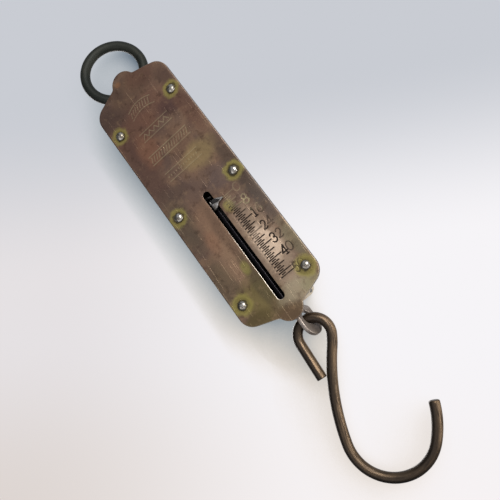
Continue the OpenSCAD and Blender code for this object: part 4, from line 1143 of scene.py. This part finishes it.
# ---- Ring ----
# An iron ring welded from 5 mm rod, which turns freely in the link's eye. Its black finish has worn smooth,
# and it is greener in the hollows where it was last oiled.
RING_R, ROD_R, RING_TWIST, RING_STEPS = 15.1, 2.5, 18, 160
RING_X, RING_Y, RING_Z = -2.247, -0.730, -12.383  # in the row frame
iron = Metal("worn_black_iron", 0.5, 0.2)
iron.put(0.2, iron.shader.inputs["Specular IOR Level"])
cloud = wire_marks(iron, 3, 130, 5)
tone = iron.tinted((24, 27, 23), cloud, 0.42, 0.64, (36, 37, 31))
tone = iron.tinted(tone, wire_marks(iron, 5, 420), 0.6, 0.74, (66, 58, 46), 0.35)
iron.surface(tone, wire_marks(iron, 3, 900), 0.015, cloud, (0.44, 0.6))

across_x, across_y = math.cos(math.radians(RING_TWIST)), math.sin(math.radians(RING_TWIST))
turns = [2 * math.pi * i / RING_STEPS for i in range(RING_STEPS)]
path = [(RING_X + RING_R * math.cos(a) * across_x, RING_Y + RING_R * math.cos(a) * across_y - FACE_Y,
         RING_Z + RING_R * math.sin(a) - MIDDLE_Z) for a in turns]
finished(wire_piece("iron_ring", path, ROD_R, 28, iron, 0.1, 5, closed=True), "ring", "ring", "hanging_ring")

# ---- Load hook ----
# One length of 4.8 mm steel wire, bent hot: a short leg, an eye through the bar, a long shank and a wide bow.
# It has gone nearly black-brown, with drawing marks along it; a brown highlight is painted on its right side and
# shade on its left.
HOOK_R, HOOK_TOP_Z = 2.4, -76.5
LEG_BEND, LEG_LENGTH, LEG_BEVEL = (7.75, 86), 17.8, 0.3
BENDS = [(7.75, -121), (32, -10.5), (98, 25), (19.3, 149), (42, 23)]
TIP_BEVEL, TIP_STEPS, TIP_TAPER = 0.8, 8, 1.25
brown = Metal("dark_brown_steel", 0.36, 0.8)
cloud = wire_marks(brown, 6, 190, 5)
tone = brown.tinted((60, 50, 40), cloud, 0.40, 0.64, (76, 62, 47))
# A painted highlight: how much a place faces to the right, where the light falls, and to the front or back, broken
# up along the wire
out = brown.axes(brown.add("ShaderNodeTexCoord").outputs["Normal"])
painted_sheen = brown.maths("MULTIPLY_ADD", brown.maths("ABSOLUTE", out["Y"]), 0.25, out["X"])
painted_sheen = brown.maths("MULTIPLY_ADD", brown.level(wire_marks(brown, 8, 500, 4)), 1.1, painted_sheen)
# The painted highlight is less at the foot of the bow and round the eye, and most towards the tip
at = brown.axes(brown.where())
foot, eye_z = (-238 * MM, -206 * MM), (-180 * MM, -172 * MM)
sheen_share = brown.times(brown.spread(at["Z"], *foot, 0.3, 0.9), brown.spread(at["Z"], *eye_z, 1, 0.5))
sheen_share = brown.maths("MAXIMUM", sheen_share, brown.spread(at["X"], 7 * MM, 19 * MM))
tone = brown.over(brown.times(brown.spread(painted_sheen, 0.4, 1.05), sheen_share), tone, (132, 110, 86))
# Drawing marks, pale and dark, then painted shade on the left side, away from the light, and light specks of rust
tone = brown.tinted(tone, wire_marks(brown, 14, 900, 5), 0.54, 0.7, (118, 96, 70), 0.6)
tone = brown.tinted(tone, wire_marks(brown, 10, 1300, 4), 0.52, 0.66, (36, 28, 23), 0.8)
tone = brown.tinted(tone, out["X"], 0.32, -0.35, (36, 30, 25), 0.85)
tone = brown.tinted(tone, brown.grain(brown.where(), 1500, 3, 0.7), 0.66, 0.74, (150, 118, 76), 0.7)
brown.surface(tone, wire_marks(brown, 10, 1400), 0.05, cloud, (0.3, 0.46))


def follow_bend(path, heading, radius, turn, step=0.5):
    """A path carried on round a bend, in x and z, and its new heading in degrees. A turn above 0 is left."""
    x, z = path[-1]
    side = 1 if turn > 0 else -1
    count = max(3, int(math.ceil(abs(math.radians(turn)) * radius / step)))
    then = math.radians(heading)
    for i in range(1, count + 1):
        now = math.radians(heading + turn * i / count)
        path.append((x + side * radius * (math.sin(now) - math.sin(then)),
                     z - side * radius * (math.cos(now) - math.cos(then))))
    return heading + turn


def follow_straight(path, heading, lengths):
    x, z = path[-1]
    c, s = math.cos(math.radians(heading)), math.sin(math.radians(heading))
    path += [(x + c * length, z + s * length) for length in lengths]


leg, heading = [(0, HOOK_TOP_Z)], 180
heading = follow_bend(leg, heading, *LEG_BEND)
follow_straight(leg, heading, [*np.arange(0.5, LEG_LENGTH - LEG_BEVEL, 0.5), LEG_LENGTH - LEG_BEVEL, LEG_LENGTH])
shank, heading = [(0, HOOK_TOP_Z)], 0
for radius, turn in BENDS:
    heading = follow_bend(shank, heading, radius, turn)
tip = [math.pi / 2 * i / TIP_STEPS for i in range(TIP_STEPS + 1)]
follow_straight(shank, heading, [TIP_BEVEL * math.sin(a) for a in tip[1:]])
path = [(x, MID_Y, z) for x, z in leg[::-1] + shank[1:]]
taper = np.ones(len(path))
taper[0] = 1 - LEG_BEVEL / HOOK_R
taper[-len(tip):] = [1 - TIP_BEVEL / HOOK_R * (1 - math.cos(a)) * TIP_TAPER for a in tip]
finished(wire_piece("wire_hook", path, HOOK_R, 28, brown, 0.09, 8, taper), "hook", "hook", "load_hook")

low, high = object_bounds()
